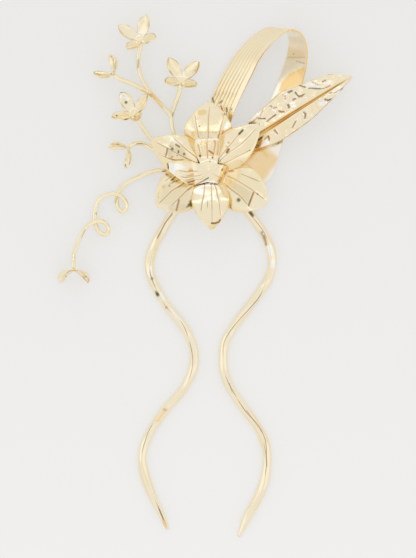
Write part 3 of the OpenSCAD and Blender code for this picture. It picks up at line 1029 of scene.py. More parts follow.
@dataclass
class PetalTier:
    """Three petals round one hub, made from one sheet of metal."""

    name: str
    node: str
    gold: Finish
    petals: Sequence[Petal]
    underside: float
    thickness: float = 0.6
    hub_radius: float = 3.2
    hub_rings: Sequence[float] = (0.72, 0.40, 0.16)        # radii, as shares of the hub's
    dish: float = 0.0              # height of the hub's rim over its middle
    steps: int = 4                 # rows of points between two rows of a petal's table
    panel_points: int = 2          # points across the metal between two lines
    line_half: float = 0.17        # half width of a line in mm
    widest_line: float = 0.06      # and at most, as a share of the petal's half width
    line_depth: float = 0.15
    # dark colour of the chased lines, painted shade in their grooves
    line_tone: float = 0.8
    rim_tone: float = 0.5          # painted deep gold of reflection along the petals' rims
    growth: Point = (4, 5)         # how fast pillows and waves grow from the foot, and from the tip
    foot_rise: Point = (0.55, 0.45)        # how the foot rises: straight, and more and more
    # painted highlight on the lower face
    bright_below: float = 0.5
    # Shares of the half width: where the outermost line may run, what each further line takes, and
    # the least distance of two lines
    outermost: float = 0.86
    line_room: float = 0.18
    least_room: float = 0.16
    marks: Sequence[Mark] = ()

    @property
    def middle(self) -> Vector:
        """The middle of the hub's sheet."""
        return FLOWER + Vector((0, 0, self.underside + self.thickness / 2))

    def columns(self, veins: Sequence[Vein], row: Row) -> list[tuple[float, float, int]]:
        """Gives the points across a petal at one row.

        Args:
            veins: the petal's chased lines.
            row: its table's values there.

        Returns:
            For each point its share of the half width, the height of its pillow, from 0 to 1, and
            the number of the vein that it lies on, or -1.
        """
        out, half, _, _, shift = row
        last = len(veins) - 1
        spots: list[float] = []
        for i, vein in enumerate(veins):
            low = -self.outermost + self.line_room * (last - i)
            high = self.outermost - self.line_room * i
            spot = clamp((vein.left_at(out) - shift) / half, low, high)
            spots.append(min(spot, spots[-1] - self.least_room) if spots else spot)
        lip = min(self.line_half / half, self.widest_line)
        made: list[tuple[float, float, int]] = []
        left = 1.0
        for number, spot in enumerate(spots):
            made += self.panel(left, spot + lip)
            made.append((spot, 0.0, number))
            left = spot - lip
        return made + self.panel(left, -1.0)

    def panel(self, left: float, right: float) -> list[tuple[float, float, int]]:
        """Gives the points across the metal between two lines, as columns does."""
        shares = [k / (self.panel_points + 1) for k in range(self.panel_points + 2)]
        return [(mix(left, right, share), 4 * share * (1 - share), -1) for share in shares]

    def foot(self, petal: Petal, feet: Point, share: float) -> Vector:
        """Gives a place of a petal's foot on the hub's rim.

        Args:
            petal: the petal.
            feet: the directions of the right and left ends of its foot, in degrees.
            share: place across the petal, from -1 to 1.

        Returns:
            The place.
        """
        turn = math.radians(mix(petal.direction, feet[1] if share > 0 else feet[0], abs(share)))
        foot = self.middle + self.hub_radius * Vector((math.cos(turn), math.sin(turn), 0))
        foot.z += self.dish
        return foot

    def across(self, petal: Petal, veins: Sequence[Vein], feet: Point, k: int) -> list[Spot]:
        """Gives the places of one row across a petal.

        Args:
            petal: the petal.
            veins: its chased lines.
            feet: the directions of the right and left ends of its foot, in degrees.
            k: number of the row, below 0 where it lies between the hub's rim and the petal.

        Returns:
            The spots, from the left edge to the right.
        """
        ahead, left_way = petal.ways
        count = (len(petal.table) - 1) * self.steps
        out, half, _, _, shift = row = curve_at(petal.table, max(k, 0) / self.steps)
        blend = clamp((k + self.steps) / self.steps)
        reach = max(k, 0) / count
        grown = ease(min(reach * self.growth[0], (1 - reach) * self.growth[1]))
        made = []
        for share, pillow, number in self.columns(veins, row):
            left, tip = shift + share * half, out + petal.tip_at(reach, pillow)
            beyond = [fold.beyond(tip, left) for fold in petal.folds]
            height = petal.height_at(row, share, pillow, grown)
            height += sum(fold.slope * max(0.0, far) for fold, far in zip(petal.folds, beyond))
            warm = max([fold.warm * ease(2 * far) for fold, far in zip(petal.folds, beyond)] + [0])
            if abs(share) > EDGE or k == count:
                warm = max(warm, self.rim_tone)
            depth = 0.0
            if number >= 0:
                depth = veins[number].depth_at(out if k >= 0 else mix(self.hub_radius, out, blend))
            spot = self.middle + ahead * tip + left_way * left + Vector((0, 0, height))
            if blend < 1:
                foot = self.foot(petal, feet, share)
                risen = blend * (self.foot_rise[0] + self.foot_rise[1] * blend)
                lifted = foot.z + (spot.z - foot.z) * risen
                spot = foot.lerp(spot, blend)
                spot.z = lifted
                warm *= blend
            # The lines' dark colour is painted shade in their grooves, and bright is the painted
            # highlight
            made.append(Spot(spot, depth, self.line_tone * depth, warm,
                             bright=petal.painted_highlight * ease(k / self.steps)))
        return made

    def sheet(self, number: int) -> Piece:
        """Lays the sheet of one petal, from its foot on the hub's rim to its tip.

        Args:
            number: number of the petal.

        Returns:
            The sheet.
        """
        petal = self.petals[number]
        ways = [other.direction for other in self.petals]
        ways = [ways[-1] - FULL_TURN, *ways, ways[0] + FULL_TURN]
        before, way, after = ways[number:number + 3]
        feet = ((before + way) / 2, (after + way) / 2)
        veins = petal.veins
        last = (len(petal.table) - 1) * self.steps
        rows = [self.across(petal, veins, feet, k) for k in range(-self.steps, last + 1)]
        return Bench.lay(f"{self.name}_{number}", rows)

    def build(self) -> Piece:
        """Makes the tier.

        Returns:
            The finished tier.
        """
        tier = Bench.join([self.sheet(number) for number in range(len(self.petals))], self.name)
        Bench.close_hub(tier, self.middle, self.hub_radius, self.dish, self.hub_rings)
        Bench.thicken(tier, self.thickness, self.bright_below)
        Bench.chase(tier, self.line_depth)
        Bench.outwards(tier)
        Bench.smooth(tier, 2)
        Bench.stain(tier, self.marks)
        return Bench.finish(tier, self.gold, self.node)


@dataclass
class Flower:
    """Three tiers of three petals each."""

    gold: Finish
    # Columns: share of the petal's length, half width, height, height of the edges
    back_shape: Sequence[Row] = (
        (.32, 4.4, .5, .15), (.46, 6.4, 1.2, .35), (.60, 6.9, 1.8, .60), (.74, 5.9, 2.2, .60),
        (.86, 4.2, 2.4, .40), (.94, 2.2, 2.5, .15), (1.0, .3, 2.5, 0))
    middle_shape: Sequence[Row] = (
        (.24, 4.3, .6, .05), (.38, 5.3, 1.7, .40), (.52, 5.5, 2.9, .70), (.66, 4.9, 3.7, .70),
        (.79, 3.6, 4.0, .45), (.90, 2.0, 4.1, .15), (1.0, .3, 4.0, 0))
    back_marks: Sequence[Mark] = (
        # Painted dark reflections
        *marked(Tone.SHADE, (.9, .25, (199.2, 126.8)), (.8, .25, (224.6, 114.7)),
            (.95, .55, (238.5, 200.2)), (.9, .25, (176.5, 181)),
            (.8, .15, (172.5, 183), (174.5, 181)), (.8, .25, (257.5, 194.2)),
            (.16, 1.0, (172, 208), (184, 207)), (.35, .2, (170, 184), (180, 180)),
            (.3, .2, (166, 181), (172, 176))),
        *marked(Tone.LINE, (.7, .25, (222.9, 131), (222.4, 135)),
            (.9, .2, (176.5, 176.2), (171.6, 180))),
        # Deeper gold, painted reflection
        *marked(Tone.WARM, (.8, .75, (200, 113.5), (204, 112.5)), (.9, .5, (163.7, 187)),
            (.6, 1.0, (226, 178), (229, 182))),
        # Painted highlights
        *marked(Tone.BRIGHT, (.9, .8, (226.9, 126.8)), (.6, .4, (178, 200.5), (175, 208)),
            (.8, .7, (198, 137), (208, 135.5), (218, 137))),
        # Soft patches of painted dark reflection, one also with deeper gold
        Mark(seen((184.4, 209.5), (193, 206.5), (191, 198)), .35, shade=.95, filled=True),
        Mark(seen((229, 178), (228, 186), (248, 205), (252, 192)), .5, warm=.15, shade=.12,
             filled=True),
        Mark(seen((163, 182), (158, 204), (182, 211), (193, 200), (190, 184)), .8, shade=.08,
             filled=True),
        # Dark lines
        Mark(seen((253.3, 193), (250, 201.5), (248.5, 206)), .26, line=.9, shade=.25),
        Mark(seen((179, 200), (176.5, 210.5)), .24, line=.9, shade=.3),
        Mark(seen((169.5, 186)), .3, line=.7, warm=.6),
        Mark(seen((228.5, 171.5), (233, 171)), .3, line=.7, warm=.5))
    middle_marks: Sequence[Mark] = (
        # Painted dark reflections
        *marked(Tone.SHADE, (.95, .45, (172.5, 149.3)), (.6, .3, (170.6, 147.3)),
            (.85, .25, (176, 145.3), (179.6, 147.3)), (.9, .25, (178.7, 151.5), (178.5, 153)),
            (.95, .35, (184.2, 154.5)), (.7, .22, (177.3, 156)), (.6, .25, (228.7, 143.3)),
            (.5, .25, (226.4, 147)), (.9, .2, (249.6, 151))),
        # Painted highlights
        *marked(Tone.BRIGHT, (.9, .35, (176, 162.5), (190, 165.5)),
            (.5, .4, (172, 141), (182, 143)), (.9, .3, (221, 158.5), (224.5, 155.5)),
            (.9, .6, (198, 186), (207, 184), (219, 186)), (.9, .6, (197.5, 191.5), (203.5, 191.5)),
            (.7, .5, (212.5, 196.5))),
        # A soft patch of painted dark reflection, with dark lines
        Mark(seen((166, 147), (167, 160), (190, 163), (185, 146), (172, 141)), .8, shade=.10,
             line=.12, filled=True),
        # A painted dark reflection along a line
        Mark(seen((239, 134.7), (242.5, 131)), .28, shade=.95, line=.5),
        # Dark lines
        Mark(seen((171.5, 158), (173, 157)), .25, line=.6, warm=.5),
        Mark(seen((228.5, 150), (227, 152.5)), .35, line=1.0, shade=.4),
        Mark(seen((211.7, 223.4), (215, 223.6), (219, 222.2), (220, 220.3)), .24, line=1.0,
             shade=.5), Mark(seen((167.5, 149), (167, 153), (165.7, 157)), .22, line=.9))
    inner_marks: Sequence[Mark] = (
        # Painted dark reflections
        *marked(Tone.SHADE, (.95, .35, (200.1, 156.3)), (.7, .25, (209.9, 161.5)),
            (.8, .25, (212.3, 158)), (.7, .3, (229.4, 167)), (.9, .17, (188, 183), (194.4, 181)),
            (.7, .15, (187.3, 185.3), (193, 184.5))),
        *marked(Tone.LINE, (.9, .25, (219.4, 181)),
            (.9, .2, (193.5, 186.5), (203.5, 181), (208.5, 178))),
        # Painted highlights
        *marked(Tone.BRIGHT, (1.0, .8, (169.5, 164.5), (173, 172.5)),
            (.6, .4, (174, 166), (182, 168)), (1.0, .5, (198, 185), (207, 182.5), (219, 184.5))),
        # A soft patch of painted highlight
        Mark(seen((168.5, 164), (171, 172), (184, 170), (188, 167), (178, 163.5)), .4, bright=.9,
             filled=True),
        # Dark lines
        Mark(seen((209, 151.3), (213, 154)), .22, line=.9, shade=.3),
        Mark(seen((222.2, 170)), .3, line=.9, shade=.3),
        Mark(seen((225, 173), (224, 175)), .22, line=.9, shade=.5),
        # Deeper gold along the rolled rim, painted reflection
        Mark(seen((230.8, 164.3), (227.5, 168.6), (225, 174), (219, 182)), .6, warm=1.0, line=.25))

    @staticmethod
    def sized(shape: Sequence[Row], length: float, width: float, lift: float) -> list[Row]:
        """Gives a petal's table from the tier's, its length and the lift of its point in mm."""
        return [(reach * length, half * width, height + lift * reach ** 2, edge, 0.0)
                for reach, half, height, edge in shape]

    def back(self) -> PetalTier:
        """Gives the three broad petals at the back.

        Returns:
            Their tier.
        """
        s = self.back_shape
        return PetalTier("back_tier", "back_petals", self.gold, (
            Petal(90, self.sized(s, length=19.7, width=1.02, lift=.2), (
                ((199.6, 140), (196.5, 127), (194.7, 114)),
                ((208.3, 138), (208.3, 120), (209.5, 107)),
                ((218.4, 139), (220.2, 130), (222.9, 121), (224.6, 114))), seed=1),
            Petal(214, self.sized(s, length=18.1, width=.93, lift=0), (
                ((191.5, 187), (187, 190), (183, 194.5), (172.4, 205)),
                ((183.6, 183), (176.5, 188), (171.6, 191), (165.8, 197), (158.7, 204)),
                ((178, 175), (171.6, 180))), (Fold((14.2, 4.7), (11.6, 1.9), slope=.10),), seed=2),
            Petal(331, self.sized(s, length=19.2, width=.98, lift=0), (
                ((242, 174.5), (259, 181.5)), ((226, 175), (239.4, 182), (252, 190), (263.6, 199)),
                ((226.5, 186), (241, 197), (248, 206))),
                (Fold((15.0, -2.9), (14.3, 1.0), slope=-.10),
                 Fold((11.8, -5.0), (18.4, -1.3), slope=.2)), seed=3)),
            BACK_HUB_Z, marks=self.back_marks)

    def middle(self) -> PetalTier:
        """Gives the three petals over those at the back.

        Returns:
            Their tier.
        """
        s = self.middle_shape
        return PetalTier("middle_tier", "middle_petals", self.gold, (
            Petal(42, self.sized(s, length=19.7, width=.93, lift=.2), (
                ((215.9, 163), (222.9, 153.6), (230, 145), (242.5, 131)),
                ((219.7, 161), (230, 152), (242, 144), (256.3, 129)),
                ((223, 164.3), (232.7, 159.4), (249.6, 151))), seed=4),
            Petal(151.5, self.sized(s, length=18.6, width=1.04, lift=0), (
                ((194.3, 167.5), (186.3, 166.5), (180, 164), (172.9, 160.7), (160, 155.4)),
                ((198.8, 164.3), (193.4, 162.5), (182.7, 157), (167.5, 148.7), (156.8, 143)),
                ((199, 160.5), (197, 157.6), (186.3, 150), (174.6, 139))),
                (Fold((13.9, .3), (11.6, 3.3), slope=-.12, warm=.15),), bumps=.07, seed=5),
            Petal(273.5, self.sized(((.24, 4.3, .75, .05), *s[1:]), length=16.9, width=.99,
                                    lift=.4), (
                ((213.6, 182), (216.5, 191), (219.4, 205.5), (220.8, 215.5)),
                ((211, 184), (211.8, 200), (212.2, 222)), ((207.6, 203), (207.4, 208)),
                ((205.5, 184), (204.7, 190), (203.5, 196.5), (200.8, 211.5))),
                (Fold((15.4, 0), (13.8, 2.5), slope=.3, warm=.5),), seed=6)),
            MIDDLE_HUB_Z, marks=self.middle_marks)

    def inner(self) -> PetalTier:
        """Gives the three short petals in front, each with its own curl.

        Returns:
            Their tier.
        """
        return PetalTier("inner_tier", "inner_petals", self.gold, (
            Petal(93, ((4.4, 3.2, 1.0, .2, 0), (6.0, 3.6, 2.6, .3, 0), (7.4, 3.8, 4.2, .3, 0),
                       (8.3, 3.7, 5.4, .2, 0), (8.8, 3.2, 6.2, 0, 0), (9.1, 2.2, 6.6, -.2, 0)), (
                ((200.1, 157), (200, 152), (197.9, 144)), ((207.7, 158), (207, 141.5)),
                ((212.6, 158), (216.6, 140.5)), ((219, 154), (220.6, 140.5))),
                scallop=.3, painted_highlight=.65, seed=7),
            Petal(188, ((4.6, 3.6, 1.0, .2, 0), (6.3, 3.6, 2.2, .4, -.4), (7.8, 3.1, 3.3, .4, -1.0),
                        (9.0, 2.5, 4.1, .2, -1.7), (10.2, 1.9, 4.5, 0, -2.3),
                        (11.2, 1.0, 4.5, -.2, -2.9)), (
                ((203, 176), (194, 180), (186, 182.4)),
                ((204, 172.4), (194, 176.2), (186, 178.2), (181, 177.4)),
                ((202, 169.5), (195.6, 171.2), (187.3, 172.4), (179, 171.2))), painted_highlight=.1, seed=8),
            Petal(344, ((3.9, 2.8, 1.1, .2, 0), (4.4, 3.0, 2.5, .3, 0), (4.7, 2.9, 4.0, .2, 0),
                        (4.9, 2.7, 5.0, 0, 0), (5.2, 2.3, 5.6, -.1, 0), (5.4, 1.7, 5.9, -.2, 0)), (
                ((213, 168), (222, 162)), ((214, 171), (221, 168)), ((214, 174), (219, 176))),
                bumps=.10, seed=9)),
            INNER_HUB_Z, dish=.45, steps=5, line_tone=.7, marks=self.inner_marks)

    def build(self) -> list[Piece]:
        """Makes the three tiers, from the back one to the front one."""
        return [tier.build() for tier in (self.back(), self.middle(), self.inner())]


# ------------------------------------------------------------------ ribbon

@dataclass
class Ribbon:
    """A band bent into a loop, with fine grooves along the back of its outer face."""

    gold: Finish
    width: float = 7.6
    thickness: float = 0.6
    grooves: int = 7
    groove_share: float = 0.86     # share of the width with grooves, from the back edge on
    groove_half: float = 0.17      # half width of a groove
    groove_depth: float = 0.16
    # Row of the table where the grooves begin to grow faint, and to end, and the rows that takes
    faint: Point = (3, 3)
    ending: Point = (10, 2)
    crown: float = 0.05            # how far the metal stands up between two grooves
    end_crowns: Point = (0.3, 0.4)         # share of that behind the first groove, after the last
    # painted deep gold of reflection in the grooves
    groove_warmth: float = 1.3
    groove_tone: Point = (0.4, 0.6)        # painted shade on a groove's floor, and how it varies
    streaks: Pattern = (0.5, 12, 1.5, 33)          # along the grooves' floors
    waves: Pattern = (0.6, 3, 1.7, 31)             # of the whole band
    unevenness: float = 0.06       # height of the waves
    rim: Point = (0.4, 0.9)        # painted deep gold of reflection along the front edge, and round the top of the loop
    top_rows: Point = (8, 14)      # rows of the table between which the top of the loop lies
    # painted highlight on the inner face
    bright_below: float = 0.7
    plain_points: Sequence[float] = (0.35, 0.7, 0.9, 1.0)      # across the margin without grooves
    steps: int = 4                 # rows of points between two rows of the table
    # Columns: back edge x, y, height over its seat on the disc, then the same for the front edge
    rows: Sequence[Row] = (
        (-1.2, 34.8, 0, 3.2, 34.8, 0), (-0.8, 38.6, 0, 4.9, 38.2, 0),
        (0.0, 43.6, -.6, 7.0, 41.6, .3), (1.4, 50.2, -1.2, 8.1, 46.2, 1.0),
        (3.6, 55.4, -1.2, 10.6, 52.2, 2.5), (6.2, 60.2, -1.1, 13.3, 57.6, 3.7),
        (9.4, 65.0, -1.0, 15.8, 62.8, 4.5), (12.3, 68.2, -.9, 18.7, 66.7, 4.9),
        (15.2, 70.7, -.9, 21.3, 69.2, 5.2), (18.1, 72.2, -.9, 24.5, 71.2, 5.4),
        (21.3, 72.1, -.9, 27.4, 70.5, 5.4), (23.9, 71.0, -.9, 29.2, 67.6, 5.2),
        (24.6, 67.9, -1.0, 29.6, 63.8, 4.8), (23.8, 63.5, -1.1, 29.2, 60.0, 4.1),
        (22.2, 58.6, -1.3, 28.0, 55.1, 2.9), (19.9, 52.8, -1.5, 26.4, 49.6, 1.4),
        (17.3, 46.7, -1.6, 24.2, 43.2, .3), (14.8, 40.4, -1.5, 22.2, 37.7, -.3),
        (12.9, 35.6, -.9, 20.7, 32.5, -.5), (10.1, 32.1, 0, 17.6, 27.4, -.1),
        (6.7, 31.3, 0, 8.0, 27.0, 0))
    marks: Sequence[Mark] = (
        # Painted dark reflections at the band's foot
        *marked(Tone.SHADE, (.9, .25, (212.5, 98), (213.5, 102)),
            (.7, .3, (219.5, 103), (222, 101)), (.8, .25, (226.4, 108), (227, 111.6)),
            (.8, .3, (231.3, 109.4))),
        *marked(Tone.LINE, (.6, .18, (293.5, 54.3)), (1.0, .2, (221, 106), (222.4, 111))),
        # Painted highlights
        *marked(Tone.BRIGHT, (.9, .25, (251, 161), (260, 166)), (1.0, 1.0, (268, 165), (272, 172)),
            (.9, .5, (217.5, 108.5), (224, 113))),
        # Soft patches of deep gold, painted reflection
        Mark(seen((281.5, 81), (277.5, 93), (303, 85), (305.5, 66), (290, 73)), .35, warm=.9,
             filled=True),
        Mark(seen((287, 35), (285, 62), (306, 60), (307, 48), (302, 36)), 1.0, warm=.35,
             filled=True),
        Mark(seen((238, 152), (236, 182), (258, 194), (284, 158), (262, 140)), 1.8, warm=.75,
             filled=True),
        # Dark lines
        Mark(seen((296.2, 61.4), (300, 63), (304, 64)), .1, line=.6, warm=.6),
        # Deeper gold, painted reflection
        Mark(seen((247, 164), (252, 170)), .3, warm=.8, line=.2),
        Mark(seen((262, 150), (267, 156)), .5, warm=.9, shade=.06),
        Mark(seen((287, 57.2), (292, 57.6), (304.3, 58.3)), .1, line=.35, warm=.5))

    def columns(self) -> list[tuple[float, bool, float]]:
        """Gives the points across the band.

        Returns:
            For each point its share of the width, whether it lies in a groove, and how far it
            stands up between two grooves, from 0 to 1.
        """
        pitch = self.groove_share / self.grooves
        lip = self.groove_half / self.width
        first, last = self.end_crowns
        made: list[tuple[float, bool, float]] = [(0.0, False, first)]
        for k in range(self.grooves):
            middle = (k + 0.5) * pitch
            made += [(middle - lip, False, 0.0), (middle, True, 0.0), (middle + lip, False, 0.0)]
            made.append(((k + 1) * pitch, False, 1.0 if k < self.grooves - 1 else last))
        margin = 1 - self.groove_share
        plain = [self.groove_share + margin * share for share in self.plain_points]
        return made + [(share, False, 0.0) for share in plain]

    def groove_at(self, place: float) -> float:
        """Gives the grooves' depth: deep at the band's foot, faint higher up, gone at the top."""
        faint, ended = (ease((place - row) / rows) for row, rows in (self.faint, self.ending))
        return (1 - 0.5 * faint) * (1 - ended)

    @staticmethod
    def value(k: int, share: float, pattern: Pattern) -> float:
        """Gives the value of one of the band's patterns at a row and a share of the width."""
        along, across, size, seed = pattern
        return ripple(k * along, share * across, size, seed)

    def across(self, row: Row, ahead: Vector, k: int) -> list[Spot]:
        """Gives the places of one row across the band.

        Args:
            row: the table's values there.
            ahead: direction of the band.
            k: number of the row.

        Returns:
            The spots, from the back edge to the front one.
        """
        base = Vector((0, 0, SEAT_Z + self.thickness / 2))
        back, front = base + Vector(row[:3]), base + Vector(row[3:])
        out = (front - back).cross(ahead).normalized()
        place = k / self.steps
        depth = self.groove_at(place)
        rim = mix(*self.rim, ease(place - self.top_rows[0]) - ease(place - self.top_rows[1]))
        made = []
        for share, groove, crown in self.columns():
            lift = self.crown * crown * depth
            lift += self.unevenness * self.value(k, share, self.waves)
            sunk = depth if groove else 0.0
            warm = max(clamp(self.groove_warmth * sunk), rim if share > EDGE else 0.0)
            least, varied = self.groove_tone
            tone = sunk ** 3 * clamp(least + varied * self.value(k, share, self.streaks))
            made.append(Spot(back.lerp(front, share) + out * lift, sunk, tone, warm))
        return made

    def build(self) -> Piece:
        """Makes the ribbon.

        Returns:
            The finished ribbon.
        """
        count = (len(self.rows) - 1) * self.steps
        fine = [curve_at(self.rows, k / self.steps) for k in range(count + 1)]
        middles = [Vector([(row[c] + row[c + 3]) / 2 for c in range(3)]) for row in fine]
        laid = [self.across(row, heading(middles, k), k) for k, row in enumerate(fine)]
        band = Bench.lay("ribbon_band", laid)
        Bench.thicken(band, self.thickness, self.bright_below)
        Bench.chase(band, self.groove_depth)
        Bench.outwards(band)
        Bench.smooth(band, 2)
        Bench.stain(band, self.marks)
        return Bench.finish(band, self.gold, "ribbon_loop")


# ------------------------------------------------------------------ leaf

@dataclass
class Leaf:
    """A crinkled leaf with a deep midrib, which points away from the flower."""

    gold: Finish
    thickness: float = 0.6
    origin: Point = (0.8, 31.9)
    direction: float = 31.9
    tongue_half: float = 1.9       # half width of the plain tongue on the disc
    tongue_end: float = 17.0       # distance at which the tongue has become the blade
    keel_power: float = 0.75       # how the blade rises from the midrib to its edges: 1 is straight
    rib_halves: Point = (1.0, 0.42)        # half width of the midrib's groove, at its root and tip
    rib_reach: Point = (16, 32)            # where it begins to narrow, and over what length
    widest_rib: float = 0.36               # at most this share of the width
    rib_depth: float = 0.22
    crease_depth: float = 0.3
    crease_lip: float = 0.12       # height of the metal raised beside a crease
    lip: Point = (2.6, 1.1)        # its fullness and slope
    lip_cut: float = 1.5           # how far a crease takes off the painted highlight of its lips
    # How fast crinkles and painted highlights begin beside the midrib's groove, how far behind the
    # tongue the crinkles begin, and over what length
    beside_rib: Point = (5, 4)
    blade_start: Point = (0.5, 3)
    valley: Point = (7, 0.3)       # slope, and painted deep gold of shade, of the lines between the large pillows
    # painted deep gold of reflection in the creases
    crease_warmth: float = 0.5
    # painted highlight on the plain tongue
    tongue_highlight: float = 0.8
    rib_floor: float = 1.2         # fullness of the midrib's groove
    rib_slack: float = 1.01        # up to this share of the groove's width its stripes are drawn
    # Width, pattern and height of the large and the small pillows, and the height taken off both
    large: Row = (3.4, 4.2, 0.5)
    small: Row = (1.7, 8.8, 0.10)
    sunk: float = 0.25
    roughness: Point = (1.25, 0.75)        # how crinkled it is above and below the midrib
    rim_tones: tuple[float, float, float] = (0.6, 0.1, 0.6)    # painted deep gold of reflection along the rim, and dark line above and below the midrib
    # painted highlight on the lower face
    bright_below: float = 0.4
    steps: int = 9                 # rows of points between two rows of the table
    side_points: int = 20          # points across each half of the blade
    rib_points: Sequence[float] = (.65, .45, .25, 0, -.25, -.6)
    # Painted stripes of deep gold, dark line and shade along the midrib's groove: middle, from -1
    # to 1 across the groove, fullness, slope of the borders and strength
    warm_stripe: Row = (-0.1, 2.2, 1.6, 1.0)
    dark_stripe: Row = (0.35, 1.7, 5.0, 0.9)
    shade_stripe: Row = (0.2, 2.0, 3.0, 0.22)
    # Columns: distance, width above and below the midrib, height of the midrib and of the edges
    rows: Sequence[Row] = (
        (5, 1.3, 1.3, 0, 0), (8, 1.4, 1.4, .1, .2), (11, 1.7, 1.6, .7, 1.2),
        (14, 3.0, 2.7, 1.5, 2.4), (17, 4.6, 3.8, 2.1, 3.2), (20, 5.6, 4.6, 2.4, 3.8),
        (23, 5.9, 4.9, 2.7, 4.3), (26.5, 6.5, 4.8, 2.9, 4.7), (29.8, 7.1, 4.6, 3.1, 4.8),
        (33, 6.3, 4.3, 3.1, 4.6), (36.5, 5.7, 3.6, 3.0, 4.2), (40.5, 4.9, 2.6, 2.7, 3.6),
        (44, 4.0, 1.8, 2.4, 3.0), (47, 2.3, .9, 2.1, 2.4), (49.3, .3, .3, 1.9, 1.9))
    # Creases, with painted shade in them, as (distance along the midrib, distance above it)
    creases: Sequence[Mark] = (
        Mark(((19.9, 4.2), (20.7, 3.6), (21.6, 3.0)), .24, line=1, shade=.5),
        Mark(((21.7, 2.1), (23.2, 2.2), (24.7, 2.3)), .22, line=1, shade=.5),
        Mark(((26.2, 2.8), (26.5, 2.2), (27.2, 1.9)), .28, line=1, shade=.4),
        Mark(((30.0, 5.8), (29.3, 4.6), (29.2, 3.1), (29.0, 2.1)), .13, line=.8, shade=.3),
        Mark(((29.4, 2.8), (29.1, 2.1)), .34, line=1, shade=.4),
        Mark(((31.3, 3.2), (32.0, 3.2)), .26, line=1, shade=.3),
        Mark(((32.9, 4.8), (33.0, 3.5), (33.6, 3.0), (34.7, 3.0)), .24, line=1, shade=.4),
        Mark(((33.3, 3.1), (33.9, 2.9)), .35, line=1, shade=.4),
        Mark(((35.0, 5.9), (36.2, 4.6)), .24, shade=.9),
        Mark(((36.9, 3.8), (38.4, 2.7), (39.8, 1.9)), .24, shade=.9),
        Mark(((39.9, 1.8), (41.2, 1.3), (42.7, 1.2)), .14, line=.9, shade=.3),
        Mark(((41.4, 3.3), (42.2, 3.2)), .28, line=.9),
        Mark(((31.2, 5.9), (32.3, 5.7)), .3, shade=.95), Mark(((24.7, 5.5), (25.1, 4.8)), line=.8),
        Mark(((25.4, 4.2), (26.1, 4.1)), .26, line=.8), Mark(((22.3, 5.4), (20.7, 4.4)), line=.4),
        Mark(((38.5, 4.9), (39.9, 3.0)), line=.4),
        Mark(((16.8, -3.5), (17.5, -2.4), (18.6, -1.8), (19.6, -1.9), (19.3, -3.0)), .26, line=1,
             shade=.4), Mark(((22.2, -1.3), (22.3, -2.6)), .26, line=1, shade=.4),
        Mark(((26.9, -3.5), (28.6, -2.5)), line=.8, shade=.3),
        Mark(((32.0, -1.5), (32.1, -2.3), (31.4, -3.1)), .26, line=.8, shade=.5),
        Mark(((39.2, -1.5), (39.7, -2.2), (40.6, -2.2)), .3, shade=.95),
        Mark(((41.2, -.7), (41.9, -1.0)), line=.9),
        Mark(((42.5, -1.4), (43.9, -1.4), (45.6, -1.3)), .2, shade=.8))
    # Painted deep gold of reflection where the midrib bends down to the flower
    root: Mark = Mark(((18.0, -.3), (16.6, -1.3), (14.9, -2.8)), .6)
    # Painted highlights between the creases
    highlight_marks: Sequence[Mark] = (
        Mark(((37.4, 4.8), (38.6, 4.0), (39.8, 2.9)), .6), Mark(((37.4, -1.9), (38.6, -2.6)), .6),
        Mark(((19.0, 5.0), (20.2, 4.9)), .5), Mark(((30.2, 2.6), (30.6, 1.8)), .35),
        Mark(((18.5, -2.8), (18.6, -3.4)), .4), Mark(((23.5, 1.2), (25.5, 1.4)), .25),
        Mark(((41.4, 2.3), (43.0, 2.2)), .35))

    @staticmethod
    def stripe(across: float, stripe: Row) -> float:
        """Gives how strong a stripe is at a place across the midrib's groove, from -1 to 1."""
        middle, fullness, slope, most = stripe
        return most * ease(fullness - slope * abs(across - middle))

    def crinkle(self, along: float, wide: float) -> float:
        """Gives the height of the crinkled metal at a place on the leaf, in mm."""
        return sum(high * pillows(along, wide, width, seed)
                   for width, seed, high in (self.large, self.small)) - self.sunk

    def rib_share(self, row: Row) -> float:
        """Gives the share of the width that the midrib's groove takes on each side at a row."""
        half = mix(*self.rib_halves, clamp((row[0] - self.rib_reach[0]) / self.rib_reach[1]))
        return min(self.widest_rib, half / max(row[1], 0.3))

    def spot(self, row: Row, share: float, rib: float) -> Spot:
        """Gives one place on the leaf.

        Args:
            row: the table's values there.
            share: share of the width, positive above the midrib.
            rib: share of the width that the midrib's groove takes on each side.

        Returns:
            The spot.
        """
        along, above, below, mid, edge = row
        wide = share * (above if share > 0 else below)
        broad = clamp((above - self.tongue_half) / self.tongue_half)
        start, length = self.blade_start
        away = ease((abs(share) - rib) * self.beside_rib[0]) * broad
        away *= ease((along - self.tongue_end - start) / length)
        strong = [mark.near(along, wide) for mark in self.creases]
        deep = max(strong) * away
        gaps = [mark.gap(along, wide) / mark.half for mark in self.creases]
        lips = ease(self.lip[0] - self.lip[1] * min(gaps)) * away
        z = SEAT_Z + self.thickness / 2 + mid + (edge - mid) * abs(share) ** self.keel_power
        z += away * self.roughness[0 if share > 0 else 1] * self.crinkle(along, wide)
        z += self.crease_lip * lips - self.crease_depth * deep

